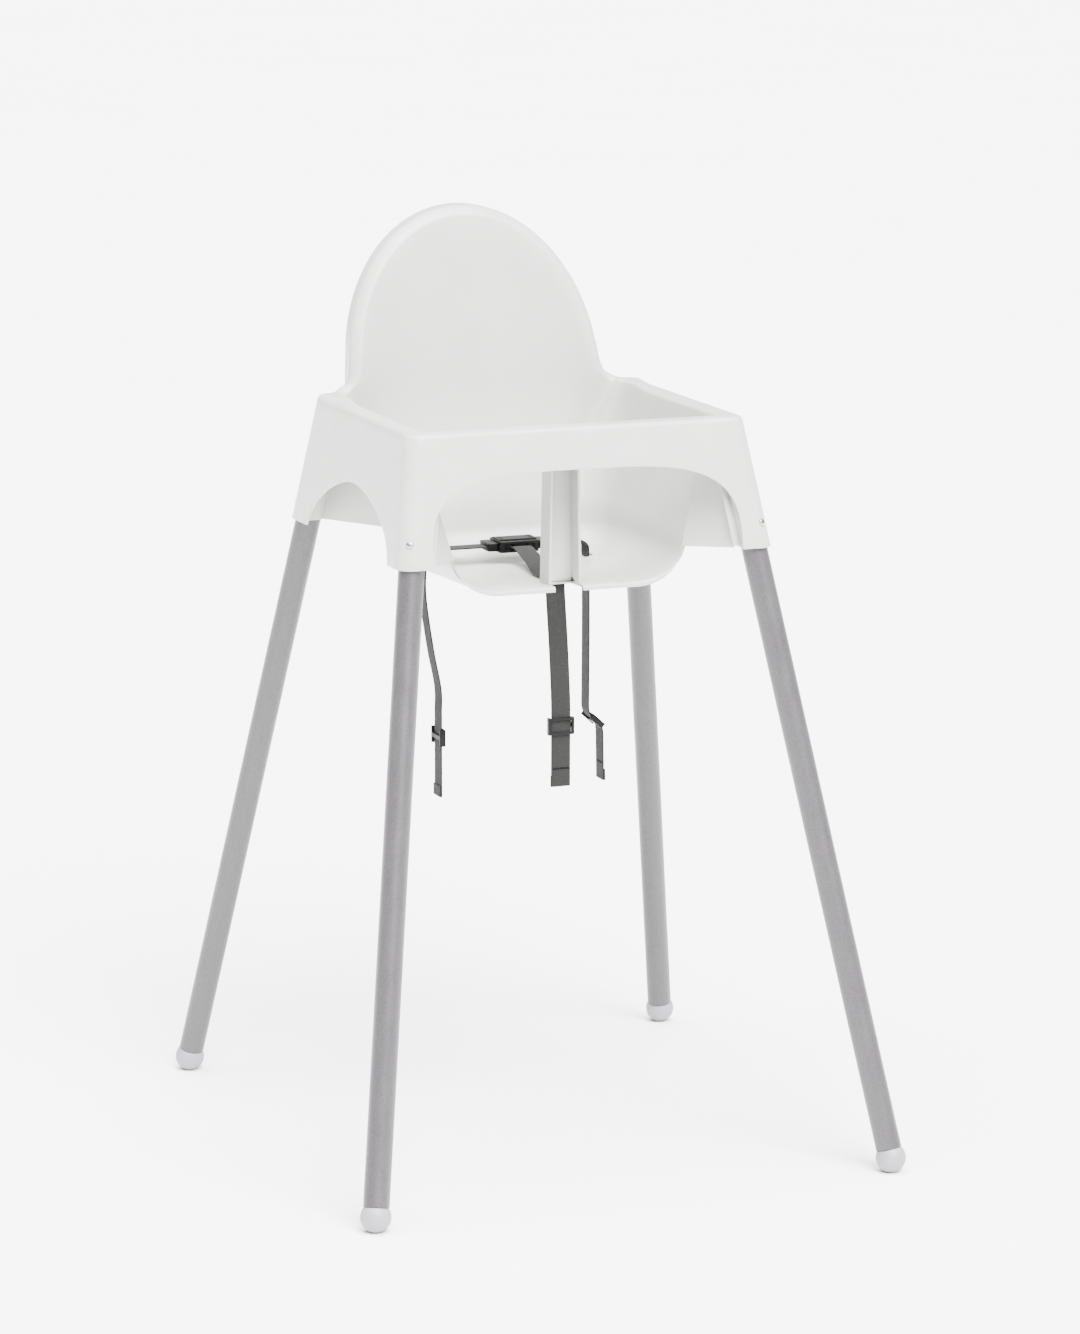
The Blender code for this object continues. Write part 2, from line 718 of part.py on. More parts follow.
def slot_tools():
    """Cutters for the three strap slots."""
    half = STRAP_SLOT_LENGTH / 2
    tools = []
    for name, side in SIDES.items():
        low = (side * LAP_SLOT_X - LAP_SLOT_WIDTH / 2, HARNESS_Y - half, PAN_HEIGHT - 0.03)
        high = (side * LAP_SLOT_X + LAP_SLOT_WIDTH / 2, HARNESS_Y + half, PAN_HEIGHT + 0.02)
        tools.append(add_object(f"tool_slot_{name}", block(low, high), "shell_white"))
    low = (-half, CROTCH_SLOT_Y - CROTCH_SLOT_WIDTH / 2, PAN_HEIGHT - 0.03)
    high = (half, CROTCH_SLOT_Y + CROTCH_SLOT_WIDTH / 2, PAN_HEIGHT + 0.004)
    tools.append(add_object("tool_slot_crotch", block(low, high), "shell_white"))
    return tools


def socket_tools(side, row):
    """The solid of a socket, its bore and the hole for its snap button."""
    place = leg_frame(side, row)
    mouth = socket_mouth(side, row)
    top = leg_top(side, row)
    tag = f"{side}_{row}"
    bm = cylinder(SOCKET_RADIUS, mouth - SOCKET_RADIUS, top + SHELL_WALL)
    bmesh.ops.transform(bm, matrix=place, verts=bm.verts)
    cut_level(bm, SOCKET_HEIGHT - MOUTH_DROP)
    solid = add_object(f"tool_socket_{tag}", bm, "shell_white")
    bore = add_object(
        f"tool_bore_{tag}", cylinder(TUBE_RADIUS + CLEARANCE, mouth - 0.03, top + CLEARANCE),
        "shell_white", place)
    hole = add_object(
        f"tool_hole_{tag}", cylinder(BUTTON_RADIUS + CLEARANCE, 0.0, 0.03, 12),
        "shell_white", place @ button_matrix(side, row))
    return solid, bore, hole


def button_matrix(side, row):
    """From a leg's frame to its button's: +Z points out through the button."""
    return frame((0, 0, button_place(side, row)), (1, 0, 0), (0, 0, 1))


def make_shell():
    bm, grid = shell_sheet()
    front_lip(bm, grid)
    shell = add_object("seat_shell", bm, "shell_white")
    if shell.data.polygons[0].normal.z < 0:
        shell.data.flip_normals()
    wall = shell.modifiers.new("wall", "SOLIDIFY")
    wall.thickness = SHELL_WALL
    wall.offset = -1.0
    wall.use_even_offset = True
    front = leg_point(1, -1, RIM_HEIGHT).y - CORNER_RADIUS
    tool = arch_tool(
        "tool_arch_front", 0.0, FRONT_ARCH_HALF_WIDTH, RIM_HEIGHT - RAIL_DEPTH - SOCKET_HEIGHT,
        FRONT_ARCH_POWER, front - 0.03, front + 0.006, False)
    lean_front_tool(tool)
    boolean(shell, tool, "DIFFERENCE", "MANIFOLD")
    half = leg_point(1, 1, RIM_HEIGHT).x + CORNER_RADIUS
    for side in SIDES.values():
        tool = arch_tool(
            f"tool_arch_{side}", SIDE_ARCH_Y, SIDE_ARCH_HALF_WIDTH, SIDE_ARCH_HEIGHT,
            SIDE_ARCH_POWER, side * half, side * (half + 0.06), True)
        boolean(shell, tool, "DIFFERENCE", "MANIFOLD")
    cuts = [post_notch_tool(), *slot_tools()]
    boolean(shell, post_tool(), "UNION", "MANIFOLD")
    for side in SIDES.values():
        boolean(shell, web_tool(side), "UNION", "MANIFOLD")
        for row in ROWS.values():
            solid, bore, hole = socket_tools(side, row)
            boolean(shell, solid, "UNION", "MANIFOLD")
            cuts += [bore, hole]
    for tool in cuts:
        boolean(shell, tool, "DIFFERENCE", "MANIFOLD")
    return shell


# ---------------------------------------------------------------------------------------------
# legs, feet, snap buttons and springs
# ---------------------------------------------------------------------------------------------
def make_leg(side_name, row_name):
    side = SIDES[side_name]
    row = ROWS[row_name]
    place = leg_frame(side, row)
    inner = TUBE_RADIUS - TUBE_WALL
    low = FOOT_SHOULDER + CLEARANCE
    top = leg_top(side, row)
    profile = [(inner, low), (TUBE_RADIUS, low), (TUBE_RADIUS, top), (inner, top)]
    leg = add_object(f"leg_{row_name}_{side_name}", turned(profile), "leg_silver", place)
    hole = add_object(
        f"tool_leg_hole_{side}_{row}", cylinder(BUTTON_RADIUS + CLEARANCE, 0.0, 0.03, 12),
        "leg_silver", place @ button_matrix(side, row))
    boolean(leg, hole, "DIFFERENCE")


def make_foot(side_name, row_name):
    """A ball foot with a plug that fills the end of the tube, flat where it stands."""
    side = SIDES[side_name]
    row = ROWS[row_name]
    plug = TUBE_RADIUS - TUBE_WALL - CLEARANCE
    start = math.asin(FOOT_SHOULDER / FOOT_RADIUS)
    profile = [(0, -FOOT_RADIUS)]
    rings = 7
    for step in range(1, rings + 1):
        angle = -math.pi / 2 + (start + math.pi / 2) * step / rings
        profile.append((FOOT_RADIUS * math.cos(angle), FOOT_RADIUS * math.sin(angle)))
    plug_top = FOOT_SHOULDER + FOOT_PLUG_LENGTH
    profile += [(plug, FOOT_SHOULDER), (plug, plug_top - 0.002), (plug - 0.002, plug_top), (0, plug_top)]
    bm = turned(profile)
    place = leg_frame(side, row)
    bmesh.ops.transform(bm, matrix=place, verts=bm.verts)
    cut_level(bm, 0.0)
    add_object(f"foot_{row_name}_{side_name}", bm, "foot_white")


def make_button(side_name, row_name):
    """A domed pin that snaps out through the tube and the socket wall."""
    side = SIDES[side_name]
    row = ROWS[row_name]
    reach = CORNER_RADIUS + BUTTON_RISE
    flange_top = math.sqrt((TUBE_RADIUS - TUBE_WALL) ** 2 - BUTTON_FLANGE_RADIUS ** 2) - CLEARANCE
    flange_low = flange_top - 0.0012
    dome = BUTTON_RADIUS * 0.35
    profile = [
        (0, flange_low), (BUTTON_FLANGE_RADIUS, flange_low), (BUTTON_FLANGE_RADIUS, flange_top),
        (BUTTON_RADIUS, flange_top), (BUTTON_RADIUS, reach - dome),
        (BUTTON_RADIUS * 0.72, reach - dome * 0.3), (0, reach),
    ]
    place = leg_frame(side, row) @ button_matrix(side, row)
    add_object(f"snap_button_{row_name}_{side_name}", turned(profile, 12), "steel", place)
    make_spring(side_name, row_name, flange_low, place)


def make_spring(side_name, row_name, flange_low, place):
    """A bent leaf inside the tube that pushes the button out."""
    front = flange_low - CLEARANCE - SPRING_WALL / 2
    back = -(TUBE_RADIUS - TUBE_WALL - 0.0012)
    radius = (front - back) / 2
    middle = (front + back) / 2
    path = [Vector((-0.008, 0, front))]
    for step in range(9):
        angle = math.pi / 2 - math.pi * step / 8
        path.append(Vector((0.020 + radius * 0.5 * math.cos(angle), 0, middle + radius * math.sin(angle))))
    path.append(Vector((-0.008, 0, back)))
    bm = ribbon(path, Vector((0, 1, 0)), SPRING_WIDTH, SPRING_WALL)
    add_object(f"button_spring_{row_name}_{side_name}", bm, "steel", place)


# ---------------------------------------------------------------------------------------------
# harness
# ---------------------------------------------------------------------------------------------
def pan_top(y):
    return PAN_HEIGHT - PAN_SLOPE * (y - TUB_FRONT_Y)


def belt_height():
    """Middle of the buckle and of the lap straps that lie across the pan."""
    return pan_top(HARNESS_Y) + BELT_LIFT + BUCKLE_HEIGHT / 2


def plug_end(side):
    """Outer end of a plug's body, where its strap begins."""
    return BUCKLE_X + side * (BUCKLE_LENGTH / 2 + CLEARANCE + PLUG_BODY_LENGTH)


def turn_down(level, edge_out, slot_middle, steps=4):
    """Across and up values for a strap that bends from flat to hanging in its slot."""
    radius = slot_middle - edge_out
    points = []
    for step in range(steps + 1):
        angle = math.pi / 2 * step / steps
        points.append((edge_out + radius * math.sin(angle), level - radius * (1 - math.cos(angle))))
    return points


LEFT_TAIL = ((0.0868, 0.0328), (0.0790, 0.0878), (0.0712, 0.1278), (0.0708, 0.1528), (0.0708, 0.1778),
             (0.0708, 0.2383))
RIGHT_TAIL = ((0.0868, 0.0488), (0.0868, 0.1078), (0.0866, 0.1443), (0.0868, 0.1608), (0.0900, 0.1678),
              (0.0950, 0.1728), (0.1000, 0.1778), (0.1020, 0.1848), (0.1024, 0.1988), (0.1030, 0.2348))
CROTCH_TAIL = ((-0.0735, 0.0228), (-0.0795, 0.0578), (-0.0842, 0.0928), (-0.0870, 0.1228),
               (-0.0870, 0.1628), (-0.0870, 0.2023))
TAILS = {"left": LEFT_TAIL, "right": RIGHT_TAIL}
SLIDER_DROPS = {"left": 0.1818, "right": 0.1728, "crotch": 0.1403}


def hang(tail):
    """Turn a tail's drops below the pan's front edge into heights."""
    return [(across, PAN_HEIGHT - drop) for across, drop in tail]


def lap_path(side_name):
    side = SIDES[side_name]
    level = belt_height()
    start = abs(plug_end(side)) + CLEARANCE if side * plug_end(side) > 0 else 0.0
    flat = [(start, level), (start + 0.012, level)]
    bent = turn_down(level, LAP_SLOT_X - LAP_BEND, LAP_SLOT_X)
    corner = [(x, z) for x, z in flat + bent]
    hanging = smooth_path([(x, 0, z) for x, z in (bent[-1], *hang(TAILS[side_name]))], 4)
    points = [Vector((side * x, HARNESS_Y, z)) for x, z in corner]
    points += [Vector((side * p.x, HARNESS_Y, p.z)) for p in hanging[1:]]
    return points


def crotch_path():
    start_y = HARNESS_Y - BUCKLE_DEPTH / 2 - 2 * CLEARANCE
    level = belt_height()
    edge = CROTCH_SLOT_Y + 0.003
    low_level = pan_top(edge) + WEBBING_THICKNESS / 2 + 0.0008
    flat = [
        Vector((BUCKLE_X, start_y, level)), Vector((BUCKLE_X, start_y - 0.010, level)),
        Vector((BUCKLE_X * 0.6, 0.0, mix(low_level, level, 0.45))),
        Vector((0.0, edge + 0.03, low_level + 0.0004)),
    ]
    bent = [Vector((0, -y, z)) for y, z in turn_down(low_level, -edge, -CROTCH_SLOT_Y)]
    tail = smooth_path([bent[-1], *[Vector((0, y, z)) for y, z in hang(CROTCH_TAIL)]], 4)
    return smooth_path([*flat, bent[0]], 3)[:-1] + bent + tail[1:]


def make_straps():
    for name in SIDES:
        path = lap_path(name)
        bm = ribbon(path, Vector((0, 1, 0)), WEBBING_WIDTH, WEBBING_THICKNESS)
        add_object(f"lap_strap_{name}", bm, "webbing_grey")
    path = crotch_path()
    bm = ribbon(path, Vector((1, 0, 0)), WEBBING_WIDTH, WEBBING_THICKNESS)
    add_object("crotch_strap", bm, "webbing_grey")


def strap_place(path, across, height):
    """A frame on a hanging strap at a height: +Z up the strap and +X across it."""
    best = min(range(1, len(path) - 1), key=lambda index: abs(path[index].z - height))
    upward = path[best - 1] - path[best + 1]
    return frame(path[best], upward, across)


def make_slider(name, place):
    """A three-bar adjuster: the strap runs behind its middle bar and in front of the others."""
    half = WEBBING_WIDTH / 2 + 0.0008
    side = half + SLIDER_SIDE
    tall = SLIDER_HEIGHT / 2
    deep = SLIDER_HALF_DEPTH
    gap = WEBBING_THICKNESS / 2 + 0.0006
    bm = block((-side, -deep, -tall), (side, deep, tall))
    slider = add_object(name, bm, "buckle_black", place)
    window = add_object(
        f"tool_window_{name}", block((-half, -deep - 0.01, -tall + 0.0028), (half, gap, tall - 0.0028)),
        "buckle_black", place)
    boolean(slider, window, "DIFFERENCE")
    for tag, low, high in (("top", 0.0022, tall + 0.01), ("bottom", -tall - 0.01, -0.0022)):
        opening = add_object(
            f"tool_{tag}_{name}", block((-half, -gap, low), (half, deep + 0.01, high)),
            "buckle_black", place)
        boolean(slider, opening, "DIFFERENCE")


def make_sliders():
    for name in SIDES:
        path = lap_path(name)
        place = strap_place(path, Vector((0, 1, 0)), PAN_HEIGHT - SLIDER_DROPS[name])
        make_slider(f"slider_{name}", place)
    path = crotch_path()
    place = strap_place(path, Vector((1, 0, 0)), PAN_HEIGHT - SLIDER_DROPS["crotch"])
    make_slider("slider_crotch", place)


def make_buckle():
    """The buckle's middle: a flat sleeve that takes a plug at each end."""
    level = belt_height()
    half = BUCKLE_LENGTH / 2
    deep = BUCKLE_DEPTH / 2
    tall = BUCKLE_HEIGHT / 2
    place = Matrix.Translation((BUCKLE_X, HARNESS_Y, level))
    body = add_object(
        "buckle_centre", rounded_block((-half, -deep, -tall), (half, deep, tall), 0.003),
        "buckle_black", place)
    inside = add_object(
        "tool_buckle_inside",
        block((-half - 0.01, -deep + BUCKLE_WALL, -tall + BUCKLE_WALL),
              (half + 0.01, deep - BUCKLE_WALL, tall - BUCKLE_WALL)), "buckle_black", place)
    boolean(body, inside, "DIFFERENCE")
    for tag, side in SIDES.items():
        middle = side * (half - BUCKLE_WINDOW_INSET)
        window = add_object(
            f"tool_buckle_window_{tag}",
            block((middle - BUCKLE_WINDOW / 2, -deep - 0.01, -tall + BUCKLE_SKIN),
                  (middle + BUCKLE_WINDOW / 2, deep + 0.01, tall - BUCKLE_SKIN)),
            "buckle_black", place)
        boolean(body, window, "DIFFERENCE")


def make_plug(side_name):
    """A plug: its body outside the buckle, its tongue inside, and a sprung prong each side."""
    side = SIDES[side_name]
    level = belt_height()
    root = BUCKLE_X + side * (BUCKLE_LENGTH / 2 + CLEARANCE)
    place = frame((root, HARNESS_Y, level), UP, (side, 0, 0))
    deep = PLUG_DEPTH / 2
    tall = PLUG_HEIGHT / 2
    inner_tall = BUCKLE_HEIGHT / 2 - BUCKLE_WALL - CLEARANCE
    body = add_object(
        f"buckle_plug_{side_name}",
        rounded_block((0, -deep, -tall), (PLUG_BODY_LENGTH, deep, tall), 0.002), "buckle_black", place)
    tongue = add_object(
        f"tool_tongue_{side_name}",
        block((-PRONG_LENGTH, -0.004, -inner_tall), (0.002, 0.004, inner_tall)), "buckle_black", place)
    boolean(body, tongue, "UNION")
    reach = BUCKLE_DEPTH / 2 - BUCKLE_WALL - CLEARANCE
    prong_tall = BUCKLE_HEIGHT / 2 - BUCKLE_SKIN - CLEARANCE
    window_middle = -BUCKLE_WINDOW_INSET - CLEARANCE
    head_start = window_middle + BUCKLE_WINDOW / 2 - 0.0006
    head_end = window_middle - BUCKLE_WINDOW / 2 + 0.0006
    slant = 0.0015
    for tag, row in ROWS.items():
        out = row * side
        outer = out * reach
        inner = out * (reach - PRONG_WIDTH)
        outline = [
            (-CLEARANCE, inner), (-PRONG_LENGTH, inner), (-PRONG_LENGTH, outer),
            (head_end, outer), (head_end + slant, outer + out * PRONG_HEAD),
            (head_start, outer + out * PRONG_HEAD), (head_start, outer), (-CLEARANCE, outer),
        ]
        bm = bmesh.new()
        ends = []
        for height in (-prong_tall, prong_tall):
            ends.append([bm.verts.new((x, y, height)) for x, y in outline])
        count = len(outline)
        for index in range(count):
            after = (index + 1) % count
            bm.faces.new((ends[0][index], ends[0][after], ends[1][after], ends[1][index]))
        bm.faces.new(ends[0])
        bm.faces.new(ends[1])
        hinge = Matrix.Translation((0, out * (reach - PRONG_WIDTH / 2), 0))
        bmesh.ops.transform(bm, matrix=hinge.inverted(), verts=bm.verts)
        add_object(f"prong_{side_name}_{tag}", bm, "buckle_black", place @ hinge)


def main():
    clear_scene()
    make_shell()
    for row_name in ROWS:
        for side_name in SIDES:
            make_leg(side_name, row_name)
            make_foot(side_name, row_name)
            make_button(side_name, row_name)
    make_buckle()
    for side_name in SIDES:
        make_plug(side_name)
    make_straps()
    make_sliders()


main()
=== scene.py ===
"""Looks for the baby high chair: a moulded seat shell on coated tube legs, with a webbing harness.

Metres, +Z up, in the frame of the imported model: the front faces -Y and "left" is -X.
"""
import logging
import math
from collections.abc import Iterable
from dataclasses import dataclass, field
from enum import Enum

import bmesh
import bpy
from mathutils import Matrix, Vector


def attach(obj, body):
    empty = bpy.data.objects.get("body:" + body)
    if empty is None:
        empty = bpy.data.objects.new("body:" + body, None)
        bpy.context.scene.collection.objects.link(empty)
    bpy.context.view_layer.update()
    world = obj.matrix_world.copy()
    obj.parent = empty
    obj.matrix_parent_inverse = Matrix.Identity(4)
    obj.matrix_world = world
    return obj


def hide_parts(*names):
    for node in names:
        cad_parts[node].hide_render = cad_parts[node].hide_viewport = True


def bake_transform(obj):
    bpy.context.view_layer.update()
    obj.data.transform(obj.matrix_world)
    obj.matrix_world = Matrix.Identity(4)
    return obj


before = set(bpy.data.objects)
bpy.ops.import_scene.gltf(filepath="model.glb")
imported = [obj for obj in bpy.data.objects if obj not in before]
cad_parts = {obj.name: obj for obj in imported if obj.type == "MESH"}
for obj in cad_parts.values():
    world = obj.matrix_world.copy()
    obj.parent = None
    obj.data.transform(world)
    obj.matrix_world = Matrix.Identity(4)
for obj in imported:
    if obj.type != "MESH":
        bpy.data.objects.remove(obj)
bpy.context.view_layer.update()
log = logging.getLogger("high_chair")

UP = Vector((0.0, 0.0, 1.0))
MM = 0.001
SHARP_ANGLE = math.radians(32)


class Side(Enum):
    """Which side of the chair, with its sign along X."""

    LEFT = -1
    RIGHT = 1


class Row(Enum):
    """Front or rear, with its sign along Y."""

    FRONT = -1
    REAR = 1


# ---------------------------------------------------------------------------------------------
# small helpers
# ---------------------------------------------------------------------------------------------
def linear(hex_colour: str) -> tuple[float, float, float, float]:
    """Turn an sRGB hex colour into linear RGBA.

    Args:
        hex_colour: six hex digits.

    Returns:
        Linear red, green, blue and an alpha of 1.
    """
    values = [int(hex_colour[at:at + 2], 16) / 255 for at in (0, 2, 4)]
    return (*[v / 12.92 if v <= 0.04045 else ((v + 0.055) / 1.055) ** 2.4 for v in values], 1.0)


def mix(a: float, b: float, share: float) -> float:
    """A value the given share of the way from a to b."""
    return a + (b - a) * share


def smooth(share: float) -> float:
    """An eased share, clamped to 0 to 1."""
    share = min(1.0, max(0.0, share))
    return share * share * (3 - 2 * share)


def signed_power(value: float, power: float) -> float:
    """A power of a value's size, with the value's sign: it squares off a round outline."""
    return math.copysign(abs(value) ** power, value)


def add_node(
    tree: bpy.types.NodeTree, kind: str, values: dict | None = None, links: dict | None = None,
    **settings: object,
) -> bpy.types.Node:
    """Add one shader node with its settings, socket values and links.

    Args:
        tree: the material's or world's node tree.
        kind: the node's type name without the ShaderNode prefix.
        values: input socket names or numbers, with their values.
        links: input socket names or numbers, with the output sockets that feed them.
        **settings: the node's own properties.

    Returns:
        The new node.
    """
    node = tree.nodes.new(f"ShaderNode{kind}")
    for name, value in settings.items():
        setattr(node, name, value)
    for socket, value in (values or {}).items():
        node.inputs[socket].default_value = value
    for socket, source in (links or {}).items():
        tree.links.new(source, node.inputs[socket])
    return node


def make_piece(name: str, bm: bmesh.types.BMesh, finish: "Finish", body: str | None,
               nodes: Iterable[str] = ()) -> bpy.types.Object:
    """Turn a bmesh into a finished piece that rides on a body.

    Args:
        name: the piece's name.
        bm: its mesh, already in place; it is freed.
        finish: what it is made of.
        body: the CAD body it moves with, or None to leave it without one.
        nodes: the CAD nodes it stands for.

    Returns:
        The new object.
    """
    bmesh.ops.remove_doubles(bm, verts=bm.verts, dist=1e-6)
    bmesh.ops.recalc_face_normals(bm, faces=bm.faces)
    mesh = bpy.data.meshes.new(name)
    bm.to_mesh(mesh)
    bm.free()
    return dress(name, mesh, finish, body, nodes)


def dress(name: str, mesh: bpy.types.Mesh, finish: "Finish", body: str | None,
          nodes: Iterable[str] = ()) -> bpy.types.Object:
    """Give a mesh its shading, finish and body.

    Args:
        name: the piece's name.
        mesh: its mesh, already in place.
        finish: what it is made of.
        body: the CAD body it moves with, or None to leave it without one.
        nodes: the CAD nodes it stands for.

    Returns:
        The new object.
    """
    mesh.materials.clear()
    mesh.materials.append(finish.material())
    mesh.shade_smooth()
    mesh.set_sharp_from_angle(angle=SHARP_ANGLE)
    piece = bpy.data.objects.new(name, mesh)
    bpy.context.scene.collection.objects.link(piece)
    if nodes:
        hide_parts(*nodes)
    if body is not None:
        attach(piece, body)
    log.info("%s: %d faces, on %s", name, len(mesh.polygons), body)
    return piece


def grow(bm: bmesh.types.BMesh, ring: list, closed: bool = True) -> list:
    """Extrude a run of vertices and return the new ones in the same order.

    Args:
        bm: the mesh.
        ring: neighbouring vertices, joined by edges.
        closed: whether the last joins the first.

    Returns:
        The new vertices.
    """
    after = ring[1:] + ring[:1] if closed else ring[1:]
    edges = [bm.edges.get(pair) for pair in zip(ring, after)]
    made = bmesh.ops.extrude_edge_only(bm, edges=edges)["geom"]
    fresh = {item for item in made if isinstance(item, bmesh.types.BMVert)}
    grown = []
    for vert in ring:
        others = [edge.other_vert(vert) for edge in vert.link_edges]
        grown.append(next(other for other in others if other in fresh))
    return grown


def loft(rows: list[list[Vector]], caps: bool = True) -> tuple[bmesh.types.BMesh, list[list]]:
    """Skin a row of closed loops, by extruding the first one through the rest.

    Args:
        rows: loops with the same number of points.
        caps: whether to close both ends.

    Returns:
        The mesh, and its vertices row by row.
    """
    bm = bmesh.new()
    ring = bmesh.ops.create_circle(bm, segments=len(rows[0]), radius=1.0)["verts"]
    grid = []
    for number, row in enumerate(rows):
        if number:
            ring = grow(bm, ring)
        for vert, point in zip(ring, row):
            vert.co = point
        grid.append(ring)
    if caps:
        for ring in (grid[0], grid[-1]):
            bmesh.ops.contextual_create(bm, geom=ring)
    return bm, grid


def lathe(profile: list[tuple[float, float]], sides: int = 64) -> bmesh.types.BMesh:
    """Spin a (radius, height) profile round Z.

    Args:
        profile: the outline's points, in order.
        sides: steps in the full turn.

    Returns:
        The turned mesh, with its poles merged.
    """
    bm = bmesh.new()
    verts = [bm.verts.new((radius, 0.0, height)) for radius, height in profile]
    edges = [bm.edges.new(pair) for pair in zip(verts, verts[1:])]
    bmesh.ops.spin(bm, geom=edges + verts, cent=(0, 0, 0), axis=(0, 0, 1), dvec=(0, 0, 0),
                   angle=2 * math.pi, steps=sides, use_merge=True, use_duplicate=False)
    bmesh.ops.remove_doubles(bm, verts=bm.verts, dist=1e-6)
    bmesh.ops.recalc_face_normals(bm, faces=bm.faces)
    return bm


def rounded_box(low: tuple, high: tuple, radius: float, segments: int = 3) -> bmesh.types.BMesh:
    """A box with every edge rounded.

    Args:
        low: its lowest corner.
        high: its highest corner.
        radius: the rounding.
        segments: steps in the rounding.

    Returns:
        The box's mesh.
    """
    bm = bmesh.new()
    bmesh.ops.create_cube(bm, size=1.0)
    bmesh.ops.scale(bm, vec=Vector(high) - Vector(low), verts=bm.verts)
    bmesh.ops.translate(bm, vec=(Vector(low) + Vector(high)) / 2, verts=bm.verts)
    if radius > 0:
        bmesh.ops.bevel(bm, geom=bm.edges[:], offset=radius, offset_type="OFFSET", affect="EDGES",
                        segments=segments, profile=0.5, material=-1)
    return bm


def place_frame(origin: Vector, z_axis: Vector, x_hint: Vector) -> Matrix:
    """A placing matrix with the given Z axis, and X as near to x_hint as it can be.

    Args:
        origin: where its origin goes.
        z_axis: its Z direction.
        x_hint: its wished X direction.

    Returns:
        The matrix.
    """
    z_axis = z_axis.normalized()
    x_axis = (x_hint - z_axis * x_hint.dot(z_axis)).normalized()
    matrix = Matrix((x_axis, z_axis.cross(x_axis), z_axis)).transposed().to_4x4()
    matrix.translation = origin
    return matrix


def curve_through(points: list, steps: int) -> list[Vector]:
    """A smooth curve through some points.

    Args:
        points: what it passes through.
        steps: steps from one point to the next.

    Returns:
        The curve's points.
    """
    points = [Vector(point) for point in points]
    padded = [2 * points[0] - points[1], *points, 2 * points[-1] - points[-2]]
    path = []
    for at in range(len(points) - 1):
        before, start, end, after = padded[at:at + 4]
        for step in range(steps):
            t = step / steps
            path.append(0.5 * (
                2 * start + (end - before) * t + (2 * before - 5 * start + 4 * end - after) * t ** 2
                + (3 * start - before - 3 * end + after) * t ** 3))
    return [*path, points[-1]]


def baked(piece: bpy.types.Object) -> bpy.types.Mesh:
    """Apply a piece's modifiers, remove the piece and return the finished mesh."""
    bpy.context.view_layer.update()
    evaluated = piece.evaluated_get(bpy.context.evaluated_depsgraph_get())
    mesh = bpy.data.meshes.new_from_object(evaluated)
    bpy.data.objects.remove(piece, do_unlink=True)
    return mesh


def carve(body: bpy.types.Object, steps: list[tuple[bmesh.types.BMesh, str]]) -> bpy.types.Mesh:
    """Join solids to a body, or cut them from it, in order.

    Args:
        body: the object to work on; it is removed.
        steps: pairs of a solid and UNION or DIFFERENCE.

    Returns:
        The finished mesh.
    """
    tools = []
    for number, (bm, operation) in enumerate(steps):
        bmesh.ops.recalc_face_normals(bm, faces=bm.faces)
        mesh = bpy.data.meshes.new(f"tool_{number}")
        bm.to_mesh(mesh)
        bm.free()
        tool = bpy.data.objects.new(f"tool_{number}", mesh)
        bpy.context.scene.collection.objects.link(tool)
        tool.hide_render = True
        modifier = body.modifiers.new(tool.name, "BOOLEAN")
        modifier.operation = operation
        modifier.object = tool
        modifier.solver = "MANIFOLD"
        tools.append(tool)
    mesh = baked(body)
    for tool in tools:
        bpy.data.objects.remove(tool, do_unlink=True)
    return mesh


def plain_object(name: str, bm: bmesh.types.BMesh) -> bpy.types.Object:
    """Link a bmesh as an object with no finish, for modifiers to work on."""
    mesh = bpy.data.meshes.new(name)
    bm.to_mesh(mesh)
    bm.free()
    thing = bpy.data.objects.new(name, mesh)
    bpy.context.scene.collection.objects.link(thing)
    return thing


def rounded_copy(node: str, radius: float, segments: int = 2) -> bmesh.types.BMesh:
    """Copy a CAD node's mesh, merge it and round its edges.

    Args:
        node: the CAD node.
        radius: the rounding of its edges.
        segments: steps in that rounding.

    Returns:
        The rounded mesh.
    """
    bm = bmesh.new()
    bm.from_mesh(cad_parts[node].data)
    bmesh.ops.remove_doubles(bm, verts=bm.verts, dist=2e-6)
    bmesh.ops.dissolve_limit(bm, angle_limit=math.radians(1.0), verts=bm.verts, edges=bm.edges)
    edges = [edge for edge in bm.edges
             if len(edge.link_faces) == 2 and edge.calc_face_angle() > math.radians(40)]
    bmesh.ops.bevel(bm, geom=edges, offset=radius, offset_type="OFFSET", affect="EDGES",
                    segments=segments, profile=0.5, material=-1, clamp_overlap=True)
    return bm


